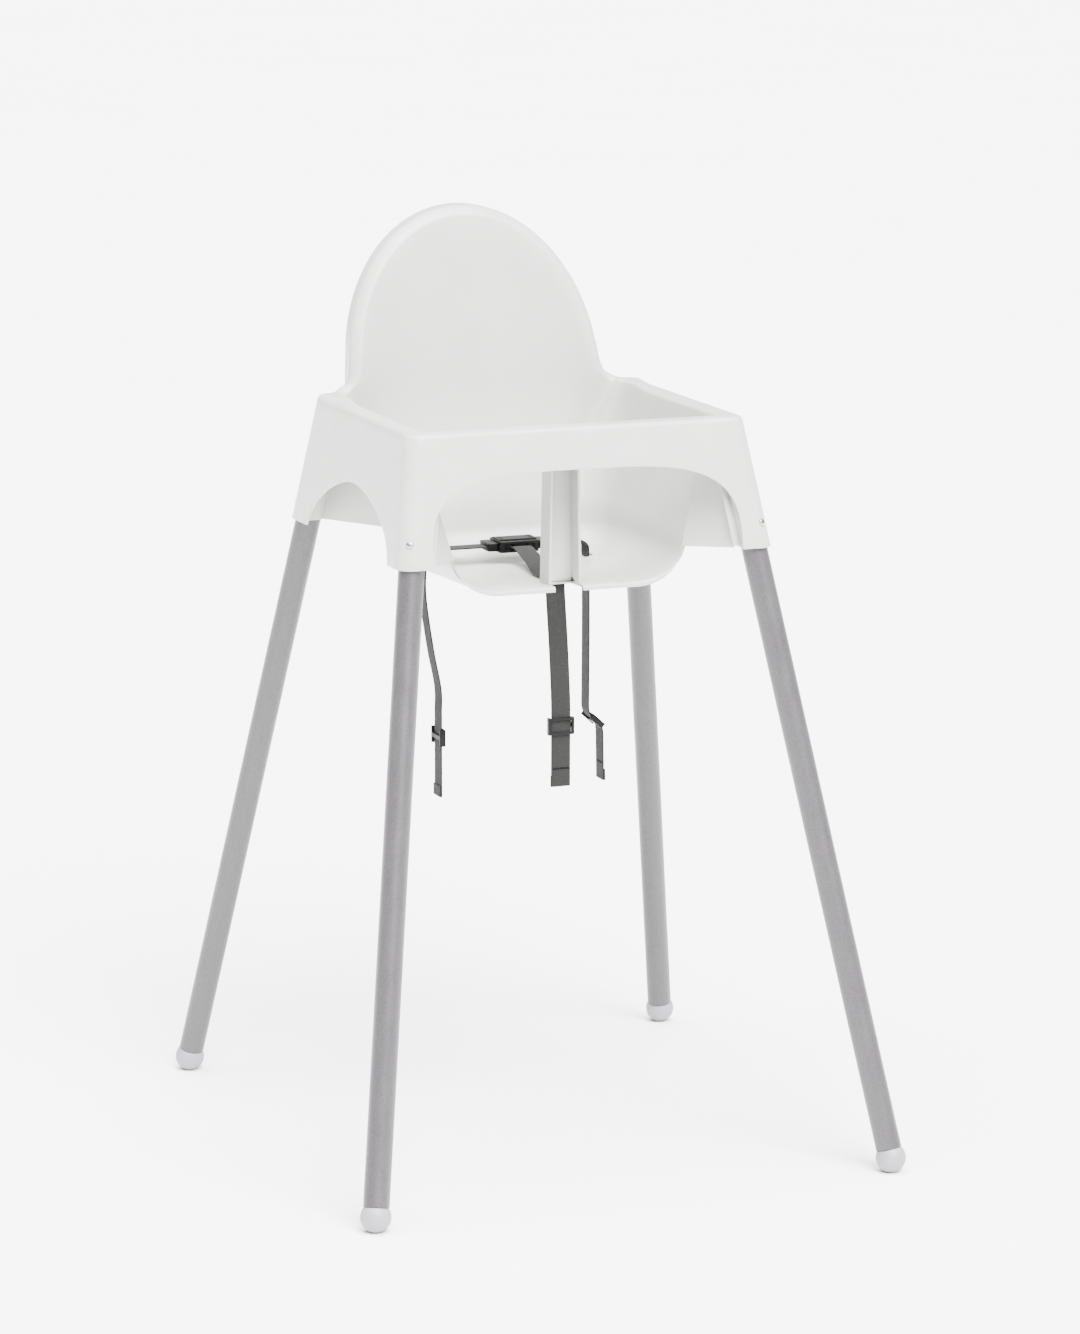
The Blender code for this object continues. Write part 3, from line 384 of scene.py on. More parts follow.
# ---------------------------------------------------------------------------------------------
# finishes
# ---------------------------------------------------------------------------------------------
@dataclass(frozen=True)
class Finish:
    """A surface as its maker would name it, made into a material once."""

    name: str
    colour: str
    roughness: float
    metallic: float = 0.0
    ior: float = 1.5
    specular: float = 0.5

    def material(self) -> bpy.types.Material:
        """The finish's material, made on first use."""
        found = bpy.data.materials.get(self.name)
        if found is not None:
            return found
        made = bpy.data.materials.new(self.name)
        made.use_nodes = True
        tree = made.node_tree
        shader = tree.nodes["Principled BSDF"]
        shader.inputs["Base Color"].default_value = linear(self.colour)
        shader.inputs["Roughness"].default_value = self.roughness
        shader.inputs["Metallic"].default_value = self.metallic
        shader.inputs["IOR"].default_value = self.ior
        shader.inputs["Specular IOR Level"].default_value = self.specular
        made.diffuse_color = linear(self.colour)
        self.detail(tree, shader)
        return made

    def detail(self, tree: bpy.types.NodeTree, shader: bpy.types.Node) -> None:
        """Add the finish's own pattern; a plain finish has none."""

    def noise(self, tree: bpy.types.NodeTree, size: float, detail: float = 2.0,
              stretch: tuple = (1.0, 1.0, 1.0)) -> bpy.types.NodeSocket:
        """Noise on Object coordinates whose lumps are about size metres across.

        Args:
            tree: the material's nodes.
            size: distance between lumps.
            detail: finer layers on top.
            stretch: how much finer it is along each axis.

        Returns:
            The noise's value, from 0 to 1.
        """
        place = add_node(tree, "TexCoord")
        turn = add_node(tree, "Mapping", values={"Scale": stretch},
                        links={"Vector": place.outputs["Object"]})
        made = add_node(tree, "TexNoise", values={"Scale": 1.0 / size, "Detail": detail},
                        links={"Vector": turn.outputs["Vector"]})
        return made.outputs["Fac"]

    def tint(self, tree: bpy.types.NodeTree, shader: bpy.types.Node, value: bpy.types.NodeSocket,
             dark: str, light: str, low: float = 0.35, high: float = 0.65) -> None:
        """Shade the base colour between two tones by a value.

        Args:
            tree: the material's nodes.
            shader: its Principled node.
            value: what drives the tone.
            dark: hex colour at the low end.
            light: hex colour at the high end.
            low: value that gives the dark tone.
            high: value that gives the light tone.
        """
        ramp = add_node(tree, "ValToRGB", links={"Fac": value})
        ramp.color_ramp.elements[0].position = low
        ramp.color_ramp.elements[0].color = linear(dark)
        ramp.color_ramp.elements[1].position = high
        ramp.color_ramp.elements[1].color = linear(light)
        tree.links.new(ramp.outputs["Color"], shader.inputs["Base Color"])

    def vary_roughness(self, tree: bpy.types.NodeTree, shader: bpy.types.Node,
                       value: bpy.types.NodeSocket, spread: float) -> None:
        """Let a value move the roughness by up to spread each way."""
        moved = add_node(tree, "MapRange", values={
            "From Min": 0.3, "From Max": 0.7, "To Min": self.roughness - spread,
            "To Max": self.roughness + spread}, links={"Value": value})
        tree.links.new(moved.outputs["Result"], shader.inputs["Roughness"])

    def relief(self, tree: bpy.types.NodeTree, value: bpy.types.NodeSocket, depth: float,
               strength: float = 1.0, under: bpy.types.Node | None = None) -> bpy.types.Node:
        """A bump node of a real depth in metres, on top of another one if given."""
        links = {"Height": value}
        if under is not None:
            links["Normal"] = under.outputs["Normal"]
        return add_node(tree, "Bump", values={"Strength": strength, "Distance": depth}, links=links)


@dataclass(frozen=True)
class MouldedPlastic(Finish):
    """Injection-moulded plastic: a satin skin with fine grain and slow changes of gloss."""

    shade: str = "000000"
    grain: float = 0.9 * MM
    grain_depth: float = 0.015 * MM
    sink: float = 45 * MM
    gloss_spread: float = 0.05

    def detail(self, tree: bpy.types.NodeTree, shader: bpy.types.Node) -> None:
        """Slow tone and gloss changes from cooling, and the mould's fine texture."""
        slow = self.noise(tree, self.sink, 3.0)
        self.tint(tree, shader, slow, self.shade, self.colour)
        self.vary_roughness(tree, shader, self.noise(tree, self.sink * 0.3, 4.0), self.gloss_spread)
        fine = self.relief(tree, self.noise(tree, self.grain, 2.0), self.grain_depth)
        tree.links.new(fine.outputs["Normal"], shader.inputs["Normal"])


@dataclass(frozen=True)
class PowderCoat(Finish):
    """Grey powder coat baked on steel tube: orange peel with fine light and dark flakes."""

    dark: str = "000000"
    light: str = "FFFFFF"
    flake: float = 0.8 * MM
    peel: float = 2.2 * MM
    peel_depth: float = 0.03 * MM

    def detail(self, tree: bpy.types.NodeTree, shader: bpy.types.Node) -> None:
        """Flakes in the colour, orange peel in the surface and faint rub marks in the gloss."""
        place = add_node(tree, "TexCoord")
        flakes = add_node(tree, "TexVoronoi", values={"Scale": 1.0 / self.flake},
                          links={"Vector": place.outputs["Object"]})
        even = add_node(tree, "RGBToBW", links={"Color": flakes.outputs["Color"]})
        self.tint(tree, shader, even.outputs["Val"], self.dark, self.light, 0.1, 0.9)
        rubs = self.noise(tree, 9 * MM, 4.0, (1.0, 1.0, 0.15))
        self.vary_roughness(tree, shader, rubs, 0.06)
        peel = self.relief(tree, self.noise(tree, self.peel, 1.0), self.peel_depth)
        tree.links.new(peel.outputs["Normal"], shader.inputs["Normal"])


@dataclass(frozen=True)
class SprungSteel(Finish):
    """Bright drawn steel: fine draw marks run along it and break up the reflection."""

    draw: float = 0.5 * MM

    def detail(self, tree: bpy.types.NodeTree, shader: bpy.types.Node) -> None:
        """Draw marks in gloss and surface."""
        marks = self.noise(tree, self.draw, 3.0, (1.0, 1.0, 0.05))
        self.vary_roughness(tree, shader, marks, 0.08)
        cut = self.relief(tree, marks, 0.005 * MM)
        tree.links.new(cut.outputs["Normal"], shader.inputs["Normal"])


@dataclass(frozen=True)
class Webbing(Finish):
    """Woven polyester webbing: ribs of warp yarn along it, crossed by picks; matt with a sheen.

    The piece's UV map is in units of 10 mm: U runs along the strap and V across it. Yarn in
    such webbing is about 0.5 mm, too fine to show, so it is drawn at 1.1 and 1.5 mm.
    """

    dark: str = "000000"
    rib: float = 1.1
    pick: float = 1.5
    yarn_depth: float = 0.18 * MM

    def detail(self, tree: bpy.types.NodeTree, shader: bpy.types.Node) -> None:
        """A two-by-two weave from crossed waves, with yarn-to-yarn tone changes and fuzz; the
        weave's hollows are also darkened in the colour, as painted shade.
        """
        place = add_node(tree, "UVMap", uv_map="weave")
        parts = add_node(tree, "SeparateXYZ", links={"Vector": place.outputs["UV"]})
        along = self.wave(tree, parts.outputs["X"], 10 / self.pick)
        across = self.wave(tree, parts.outputs["Y"], 10 / self.rib)
        slant = add_node(tree, "Math", operation="ADD", links={
            0: self.scaled(tree, parts.outputs["X"], 5 / self.pick),
            1: self.scaled(tree, parts.outputs["Y"], 5 / self.rib)})
        twill = self.wave(tree, slant.outputs["Value"], 1.0)
        crossed = add_node(tree, "Math", operation="MULTIPLY", links={0: along, 1: across})
        woven = add_node(tree, "Math", operation="MULTIPLY_ADD", values={1: 0.35},
                         links={0: twill, 2: crossed.outputs["Value"]})
        yarns = self.noise(tree, 3 * MM, 3.0)
        tone = add_node(tree, "Math", operation="MULTIPLY_ADD", values={1: 0.55},
                        links={0: yarns, 2: woven.outputs["Value"]})
        # painted shade: the colour darkens where the weave's relief is low, on top of the real
        # yarn-to-yarn tone
        self.tint(tree, shader, tone.outputs["Value"], self.dark, self.colour, 0.25, 1.15)
        bump = self.relief(tree, woven.outputs["Value"], self.yarn_depth)
        fuzz = self.relief(tree, self.noise(tree, 0.4 * MM, 2.0), 0.03 * MM, 1.0, bump)
        tree.links.new(fuzz.outputs["Normal"], shader.inputs["Normal"])
        shader.inputs["Sheen Weight"].default_value = 0.08
        shader.inputs["Sheen Roughness"].default_value = 0.5

    def scaled(self, tree: bpy.types.NodeTree, value: bpy.types.NodeSocket,
               factor: float) -> bpy.types.NodeSocket:
        """A value times a factor."""
        return add_node(tree, "Math", operation="MULTIPLY", values={1: factor},
                        links={0: value}).outputs["Value"]

    def wave(self, tree: bpy.types.NodeTree, value: bpy.types.NodeSocket,
             turns: float) -> bpy.types.NodeSocket:
        """Rounded ridges from 0 to 1, the given number of them in one unit."""
        angle = self.scaled(tree, value, math.pi * turns)
        sine = add_node(tree, "Math", operation="SINE", links={0: angle})
        return add_node(tree, "Math", operation="ABSOLUTE",
                        links={0: sine.outputs["Value"]}).outputs["Value"]


@dataclass(frozen=True)
class Thread(Finish):
    """Twisted polyester sewing thread: two plies wind round each stitch."""

    ply: float = 0.5 * MM

    def detail(self, tree: bpy.types.NodeTree, shader: bpy.types.Node) -> None:
        """Plies as slanted ridges."""
        plies = self.noise(tree, self.ply, 1.0, (1.0, 1.0, 2.0))
        bump = self.relief(tree, plies, 0.08 * MM)
        tree.links.new(bump.outputs["Normal"], shader.inputs["Normal"])


@dataclass(frozen=True)
class StudioFloor(Finish):
    """Smooth painted studio floor, faintly mottled."""

    shade: str = "000000"

    def detail(self, tree: bpy.types.NodeTree, shader: bpy.types.Node) -> None:
        """A slow, barely visible mottle."""
        self.tint(tree, shader, self.noise(tree, 0.8, 2.0), self.shade, self.colour)


SHELL = MouldedPlastic("moulded_polypropylene", "A8A8A6", 0.34, ior=1.49, shade="A4A4A2")
LEG_COAT = PowderCoat("powder_coated_steel", "424042", 0.38, metallic=0.25, dark="3B393B",
                      light="494749")
FOOT = MouldedPlastic("moulded_foot_plastic", "808084", 0.50, shade="7A7A7E", grain=1.2 * MM,
                      grain_depth=0.03 * MM, sink=15 * MM)
STEEL = SprungSteel("drawn_spring_steel", "B4B4B2", 0.28, metallic=1.0)
# the webbing's dark tone is partly real yarn tone and partly painted shade in the weave's hollows
WEBBING = Webbing("woven_polyester_webbing", "222221", 0.88, specular=0.06, dark="131312")
THREAD = Thread("sewing_thread", "060606", 0.7, specular=0.05)
ACETAL = MouldedPlastic("moulded_acetal", "080808", 0.48, ior=1.48, specular=0.14, shade="060606",
                        grain=0.6 * MM, grain_depth=0.02 * MM, sink=12 * MM)
FLOOR = StudioFloor("painted_floor", "F6F6F6", 0.7, shade="F4F4F4")


# ---------------------------------------------------------------------------------------------
# leg geometry
# ---------------------------------------------------------------------------------------------
@dataclass(frozen=True)
class LegLayout:
    """Where the four splayed legs stand and how their tubes, feet and buttons fit."""

    tube_radius: float = 0.0125
    tube_wall: float = 0.0012
    axis_x: float = 0.1755
    axis_front_y: float = -0.149
    axis_rear_y: float = 0.155
    splay_x: float = 0.152
    splay_front: float = 0.245
    splay_rear: float = 0.235
    foot_radius: float = 0.01475
    foot_height: float = 0.0142
    foot_shoulder: float = 0.0085
    plug_length: float = 0.022
    mouth_height: float = 0.598
    rim_height: float = 0.7217
    socket_depth: float = 0.058
    button_radius: float = 0.0034
    button_rise: float = 0.0012
    button_height: float = 0.020
    button_flange: float = 0.0048
    button_turn: float = math.radians(30)
    corner_radius: float = 0.0165
    gap: float = 0.0003
    drill_reach: float = 0.03

    def point(self, side: Side, row: Row, height: float) -> Vector:
        """Where a leg's axis is at a height."""
        drop = self.mouth_height - height
        x = side.value * (self.axis_x + self.splay_x * drop)
        if row is Row.FRONT:
            return Vector((x, self.axis_front_y - self.splay_front * drop, height))
        return Vector((x, self.axis_rear_y + self.splay_rear * drop, height))

    def frame(self, side: Side, row: Row) -> Matrix:
        """Origin in the foot's ball, +Z up the leg and +X out through the snap button."""
        foot = self.point(side, row, self.foot_height)
        hint = Vector((side.value * math.sin(self.button_turn),
                       row.value * math.cos(self.button_turn), 0.0))
        return place_frame(foot, self.point(side, row, self.rim_height) - foot, hint)

    def mouth(self, side: Side, row: Row) -> float:
        """How far up the leg its socket's mouth is."""
        foot = self.point(side, row, self.foot_height)
        return (self.point(side, row, self.mouth_height) - foot).length

    def top(self, side: Side, row: Row) -> float:
        """How far up the leg the tube ends."""
        return self.mouth(side, row) + self.socket_depth

    def button_frame(self, side: Side, row: Row) -> Matrix:
        """Origin on the leg's axis at its button, +Z out through the button."""
        lift = Vector((0, 0, self.mouth(side, row) + self.button_height))
        return self.frame(side, row) @ place_frame(lift, Vector((1, 0, 0)), UP)


@dataclass
class Legs:
    """Four coated tubes, each with a ball foot, a snap button and its spring."""

    layout: LegLayout = field(default_factory=LegLayout)
    end_roll: float = 0.0005
    seam_depth: float = 0.00012
    seam_half_angle: float = 0.06
    foot_ledge: float = 0.0004
    plug_bevel: float = 0.002
    flange_thickness: float = 0.0012
    dome_share: float = 0.35
    spring_round: float = 0.0002

    def tube(self, side: Side, row: Row) -> bpy.types.Mesh:
        """A tube with rounded ends and the hole for its button.

        Args:
            side: left or right.
            row: front or rear.

        Returns:
            The tube's mesh, in place.
        """
        fit = self.layout
        low = fit.foot_shoulder + fit.gap
        top = fit.top(side, row)
        outer = fit.tube_radius
        inner = outer - fit.tube_wall
        roll = self.end_roll
        profile = [(inner, low + roll), (inner + roll, low), (outer - roll, low)]
        profile += [(outer, low + roll), (outer, top - roll), (outer - roll, top)]
        profile += [(inner + roll, top), (inner, top - roll), (inner, low + roll)]
        place = fit.frame(side, row)
        bm = lathe(profile)
        bmesh.ops.transform(bm, matrix=place, verts=bm.verts)
        hole = fit.button_radius + fit.gap
        drill = lathe([(0, 0), (hole, 0), (hole, fit.drill_reach), (0, fit.drill_reach)], 32)
        bmesh.ops.transform(drill, matrix=fit.button_frame(side, row), verts=drill.verts)
        return carve(plain_object("tube", bm), [(drill, "DIFFERENCE")])

    def foot(self, side: Side, row: Row) -> bmesh.types.BMesh:
        """A ball foot with its plug, a soft parting line and a flat to stand on.

        Args:
            side: left or right.
            row: front or rear.

        Returns:
            The foot's mesh, in place.
        """
        fit = self.layout
        radius = fit.foot_radius
        plug = fit.tube_radius - fit.tube_wall - fit.gap
        start = math.asin(fit.foot_shoulder / radius)
        profile = [(0.0, -radius)]
        rings = 20
        for step in range(1, rings + 1):
            angle = mix(-math.pi / 2, start, step / rings)
            seam = self.seam_depth if abs(angle) < self.seam_half_angle else 0.0
            profile.append(((radius - seam) * math.cos(angle), (radius - seam) * math.sin(angle)))
        top = fit.foot_shoulder + fit.plug_length
        ledge = profile[-1][0] - self.foot_ledge
        profile += [(ledge, fit.foot_shoulder), (plug, fit.foot_shoulder)]
        profile += [(plug, top - self.plug_bevel), (plug - self.plug_bevel, top), (0.0, top)]
        bm = lathe(profile)
        bmesh.ops.transform(bm, matrix=fit.frame(side, row), verts=bm.verts)
        cut = bmesh.ops.bisect_plane(
            bm, geom=[*bm.verts, *bm.edges, *bm.faces], plane_co=(0, 0, 0), plane_no=(0, 0, -1),
            clear_outer=True)["geom_cut"]
        rim = [item for item in cut if isinstance(item, bmesh.types.BMEdge)]
        bmesh.ops.holes_fill(bm, edges=rim, sides=0)
        return bm

    def button(self, side: Side, row: Row) -> bmesh.types.BMesh:
        """A domed snap button with its flange.

        Args:
            side: left or right.
            row: front or rear.

        Returns:
            The button's mesh, in place.
        """
        fit = self.layout
        bore = fit.tube_radius - fit.tube_wall
        flange = math.sqrt(bore ** 2 - fit.button_flange ** 2) - fit.gap
        reach = fit.corner_radius + fit.button_rise
        dome = fit.button_radius * self.dome_share
        under = flange - self.flange_thickness
        profile = [(0, under), (fit.button_flange, under),
                   (fit.button_flange, flange), (fit.button_radius, flange)]
        rings = 6
        for step in range(rings + 1):
            angle = math.pi / 2 * step / rings
            profile.append((fit.button_radius * math.cos(angle),
                            reach - dome + dome * math.sin(angle)))
        bm = lathe(profile, 32)
        bmesh.ops.transform(bm, matrix=fit.button_frame(side, row), verts=bm.verts)
        return bm

    def build(self) -> None:
        """Make and dress all four legs."""
        for row in Row:
            for side in Side:
                tag = f"{row.name.lower()}_{side.name.lower()}"
                dress(f"tube_{tag}", self.tube(side, row), LEG_COAT, "root",
                      [f"leg_{tag}"])
                make_piece(f"ball_foot_{tag}", self.foot(side, row), FOOT, "root",
                           [f"foot_{tag}"])
                make_piece(f"domed_button_{tag}", self.button(side, row), STEEL,
                           f"button_{tag}", [f"snap_button_{tag}"])
                spring = make_piece(
                    f"leaf_spring_{tag}",
                    rounded_copy(f"button_spring_{tag}", self.spring_round, 1), STEEL,
                    None, [f"button_spring_{tag}"])
                place = self.layout.button_frame(side, row)
                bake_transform(spring)


# ---------------------------------------------------------------------------------------------
# seat shell
# ---------------------------------------------------------------------------------------------
@dataclass
class SeatShell:
    """The one-piece moulding: bucket, rolled rim, backrest, skirt with arches, post and sockets."""

    legs: LegLayout = field(default_factory=LegLayout)
    wall: float = 0.0028
    back_height: float = 0.900
    rim_width: float = 0.0222
    inner_round: float = 0.0031
    outer_round: float = 0.0040
    corner_lift: float = 0.0028
    socket_radius: float = 0.0155
    inner_corner: float = 0.010
    socket_corner: tuple = (-0.0125, -0.004, 0)
    tee_setback: float = 0.024
    rim_rear_y: float = 0.082
    tub_half: float = 0.1187
    tub_front_y: float = -0.107
    tub_rear_y: float = 0.110
    tub_rear_radius: float = 0.036
    cove_front_radius: float = 0.030
    cove_degrees: tuple = (0, 8, 17, 26, 35, 44, 53, 61, 68, 75, 82)
    cove_joint: float = 0.001
    cove_hem_drop: float = 0.0025
    pan_half: float = 0.072
    pan_height: float = 0.5628
    pan_slope: float = math.tan(math.radians(2.0))
    lip_drop: float = 0.0052
    lip_reach: float = 0.003
    rail_depth: float = 0.0397
    rail_overlap: float = 0.004
    front_arch_half: float = 0.158
    front_arch_power: float = 3.5
    front_fan: float = 0.045
    front_fan_steps: int = 10
    side_arch_y: float = -0.005
    side_arch_half: float = 0.1205
    side_arch_height: float = 0.0595
    side_arch_power: float = 1.7
    side_fan: float = 1.04
    mouth_drop: float = 0.0004
    back_half: float = 0.1325
    back_base_height: float = 0.740
    back_base_y: float = 0.149
    back_lean: float = 0.30
    back_hollow: float = 0.010
    back_roll: float = 0.0105
    roll_depth: float = 0.010
    back_edge_depth: float = 0.013
    flare_edge_depth: float = 0.004
    flare_splay: float = 0.002
    flare_lift: float = 0.003
    # the flare's two points: share across, distance back, share up
    flare_keys: tuple = ((0.45, 0.0035, 0.18), (0.85, 0.0065, 0.62))
    flare_inner: tuple = (0.004, -0.012, -0.001)
    arch_first_degrees: float = 8.0
    arch_second_degrees: float = 20.0
    web_wall: float = 0.0025
    web_height: float = 0.070
    web_tub_setback: float = -0.002
    web_socket_end: tuple = (-0.0100, -0.0090, 0)
    post_width: float = 0.0340
    post_top_width: float = 0.0288
    post_front_y: float = -0.0982
    post_back_y: float = -0.0744
    post_head: float = 0.019
    post_top_drop: float = 0.016
    post_wall: float = 0.0026
    post_edge_share: float = 0.38
    slot_length: float = 0.024
    slot_corner: float = 0.002
    edge_round: float = 0.0006
    edge_round_degrees: float = 55.0
    lap_slot_x: float = 0.0860
    lap_slot_width: float = 0.0085
    harness_y: float = 0.066
    crotch_slot_y: float = -0.0705
    crotch_slot_width: float = 0.007
    # steps of the mesh, round half of the chair
    arch_steps: int = 26
    foot_steps: int = 4
    corner_steps: int = 7
    web_steps: int = 5
    side_arch_steps: int = 40
    side_end_steps: int = 3
    rear_steps: int = 12
    flare_steps: int = 4
    back_steps: int = 30

    def __post_init__(self) -> None:
        """Work out the columns and the arch outlines."""
        self.front = self.arch_steps + self.foot_steps
        self.web_start = self.front + self.corner_steps
        self.side_start = self.web_start + self.web_steps
        self.rear_start = self.side_start + self.side_arch_steps + 2 * self.side_end_steps
        self.back_start = self.rear_start + self.rear_steps
        self.arch_start = self.back_start + 3 * self.flare_steps
        self.last = self.arch_start + self.back_steps
        self.bottoms = [self.legs.mouth_height] * (self.last + 1)
        self.cove_shares: list[float] = []
        self.front_shares, self.front_lows = self.front_columns()
        self.side_shares, self.side_lows = self.side_columns()

    def front_columns(self) -> tuple[list[float], list[float]]:
        """Where the front's columns stand, as shares of its straight part.

        Returns:
            The shares at the rim and at the bottom. They fan out round the arch's foot, because
            the legs lean and the foot does not.
        """
        legs = self.legs
        height = legs.rim_height - self.rail_depth - legs.mouth_height
        tops, lows = [], []
        foot = self.front_arch_half / legs.axis_x
        for step in range(self.arch_steps + 1):
            angle = math.pi / 2 * (1 - step / self.arch_steps)
            along = math.cos(angle) ** (2 / self.front_arch_power)
            up = height * math.sin(angle) ** (2 / self.front_arch_power)
            level = legs.mouth_height + (up if step < self.arch_steps else 0.0)
            lows.append(self.front_arch_half * along / legs.point(Side.RIGHT, Row.FRONT, level).x)
            near_foot = (step - self.arch_steps + self.front_fan_steps) / self.front_fan_steps
            tops.append(foot * along * (1 + self.front_fan * smooth(near_foot)))
            self.bottoms[step] = level
        for step in range(1, self.foot_steps + 1):
            tops.append(mix(tops[self.arch_steps], 1.0, step / self.foot_steps))
            lows.append(mix(foot, 1.0, step / self.foot_steps))
        return tops, lows

    def side_columns(self) -> tuple[list[float], list[float]]:
        """Where the side's columns stand at the rim and at the bottom, as shares of its length."""
        legs = self.legs
        lows, tops = [], []
        for step in range(self.side_arch_steps + 1):
            angle = math.pi * (1 - step / self.side_arch_steps)
            along = signed_power(math.cos(angle), 2 / self.side_arch_power)
            up = abs(math.sin(angle)) ** (2 / self.side_arch_power) * self.side_arch_height
            level = legs.mouth_height + (up if 0 < step < self.side_arch_steps else 0.0)
            front = legs.point(Side.RIGHT, Row.FRONT, level).y
            rear = legs.point(Side.RIGHT, Row.REAR, level).y
            lows.append((self.side_arch_y + self.side_arch_half * along - front) / (rear - front))
            self.bottoms[self.side_start + self.side_end_steps + step] = level
        middle = (lows[0] + lows[-1]) / 2
        reach = self.side_fan * (lows[-1] - lows[0]) / 2
        for step in range(self.side_arch_steps + 1):
            tops.append(middle - reach * math.cos(math.pi * step / self.side_arch_steps))
        return self.with_ends(tops), self.with_ends(lows)

    def with_ends(self, places: list[float]) -> list[float]:
        """Add the columns between an arch's feet and the corners on both sides."""
        steps = self.side_end_steps
        before = [places[0] * step / steps for step in range(steps)]
        after = [mix(places[-1], 1.0, step / steps) for step in range(1, steps + 1)]
        return before + places + after

    def outer_point(self, column: int, height: float, inset: float = 0.0,
                    lean: float = 0.0) -> Vector:
        """A point of the outside at a height, from the front middle to the rear corner post.

        Args:
            column: which column.
            height: the height.
            inset: how far it is drawn in.
            lean: how far along it stands between its places at the rim and at the bottom.

        Returns:
            The point.
        """
        radius = self.legs.corner_radius - inset
        front = self.legs.point(Side.RIGHT, Row.FRONT, height)
        rear = self.legs.point(Side.RIGHT, Row.REAR, height)
        if column <= self.front:
            share = mix(self.front_shares[column], self.front_lows[column], lean)
            return Vector((front.x * share, front.y - radius, height))
        if column <= self.side_start:
            angle = math.pi / 2 * ((column - self.front) / (self.side_start - self.front) - 1)
            return front + Vector((math.cos(angle), math.sin(angle), 0)) * radius
        if column <= self.rear_start:
            place = column - self.side_start
            share = mix(self.side_shares[place], self.side_lows[place], lean)
            return Vector((front.x + radius, mix(front.y, rear.y, share), height))
        angle = math.pi / 2 * (column - self.rear_start) / self.rear_steps
        return rear + Vector((math.cos(angle), math.sin(angle), 0)) * radius

    def inner_row(self, height: float, inset: float = 0.0) -> list[Vector]:
        """The opening's edge at a height, from the front middle to its rear corner.

        Args:
            height: the height, at or above the socket mouths.
            inset: how far it is drawn back into the rim.

        Returns:
            The row's points, up to rear_start.
        """
        legs = self.legs
        rise = (height - legs.mouth_height) / (legs.rim_height - legs.mouth_height)
        rim_front = legs.point(Side.RIGHT, Row.FRONT, legs.rim_height)
        rim_half = rim_front.x + legs.corner_radius - self.rim_width
        rim_y = rim_front.y - legs.corner_radius + self.rim_width
        half = mix(self.tub_half, rim_half, rise) + inset
        low = legs.point(Side.RIGHT, Row.FRONT, height) + Vector(self.socket_corner)
        high = Vector((rim_half, rim_y, height))
        socket_top = legs.mouth_height + legs.socket_depth
        upper = max(0.0, (height - socket_top) / (legs.rim_height - socket_top))
        corner = low.lerp(high, min(1.0, upper)) + Vector((inset, -inset, 0))
        tee_y = mix(self.tub_front_y, rim_y + self.tee_setback, rise)
        tee = Vector((half, tee_y, height))
        front = Vector((0, rim_y - inset, height))
        radius = min(self.inner_corner, 0.45 * (tee - corner).length)
        start = corner + (front - corner).normalized() * radius
        end = corner + (tee - corner).normalized() * radius
        row = [front.lerp(start, share) for share in self.front_shares]
        for step in range(1, self.corner_steps + 1):
            t = step / self.corner_steps
            row.append(start * (1 - t) ** 2 + corner * (2 * t * (1 - t)) + end * t ** 2)
        row += [end.lerp(tee, step / self.web_steps) for step in range(1, self.web_steps + 1)]
        rear_y = mix(self.tub_rear_y - self.tub_rear_radius, self.rim_rear_y, rise)
        rear = Vector((half, rear_y, height))
        row += [tee.lerp(rear, share) for share in self.side_shares[1:]]
        return row

    def back_keys(self, inward: float, setback: float) -> list[Vector]:
        """Points that lead the rim from the rear corner into the backrest's edge.

        Args:
            inward: how far the edge is drawn in.
            setback: how far it is moved forward.

        Returns:
            Two points of the flare.
        """
        post = self.legs.point(Side.RIGHT, Row.REAR, self.legs.rim_height)
        outer = post + Vector((0, self.legs.corner_radius, 0))
        keys = []
        for across, back, rise in self.flare_keys:
            x = mix(outer.x, self.back_half, across) - inward * across
            z = mix(outer.z, self.back_base_height, rise) + self.flare_lift * rise
            z -= inward * (1 - across)
            keys.append(Vector((x, outer.y + back - setback, z)))
        return keys

    def arch_point(self, degrees: float, inward: float, setback: float) -> Vector:
        """A point of the backrest's edge, which is half an ellipse that leans back."""
        angle = math.radians(degrees)
        rise = self.back_height - self.back_base_height - inward
        z = self.back_base_height + rise * math.sin(angle)
        y = self.back_base_y + self.back_lean * (z - self.back_base_height) - setback
        return Vector(((self.back_half - inward) * math.cos(angle), y, z))

    def back_row(self, before: list[Vector], inward: float, setback: float) -> list[Vector]:
        """The backrest's edge, after the rear corner.

        Args:
            before: the row so far, which it carries on smoothly.
            inward: how far the edge is drawn in.
            setback: how far it is moved forward.

        Returns:
            The points from after back_start to the top of the backrest.
        """
        first = self.arch_first_degrees
        keys = [before[-4], before[-1], *self.back_keys(inward, setback)]
        for degrees in (first, self.arch_second_degrees):
            keys.append(self.arch_point(degrees, inward, setback))
        points = curve_through(keys, self.flare_steps)
        points = points[self.flare_steps + 1:4 * self.flare_steps + 1]
        for step in range(1, self.back_steps + 1):
            degrees = mix(first, 90.0, step / self.back_steps)
            points.append(self.arch_point(degrees, inward, setback))
        points[-1].x = 0.0
        return points

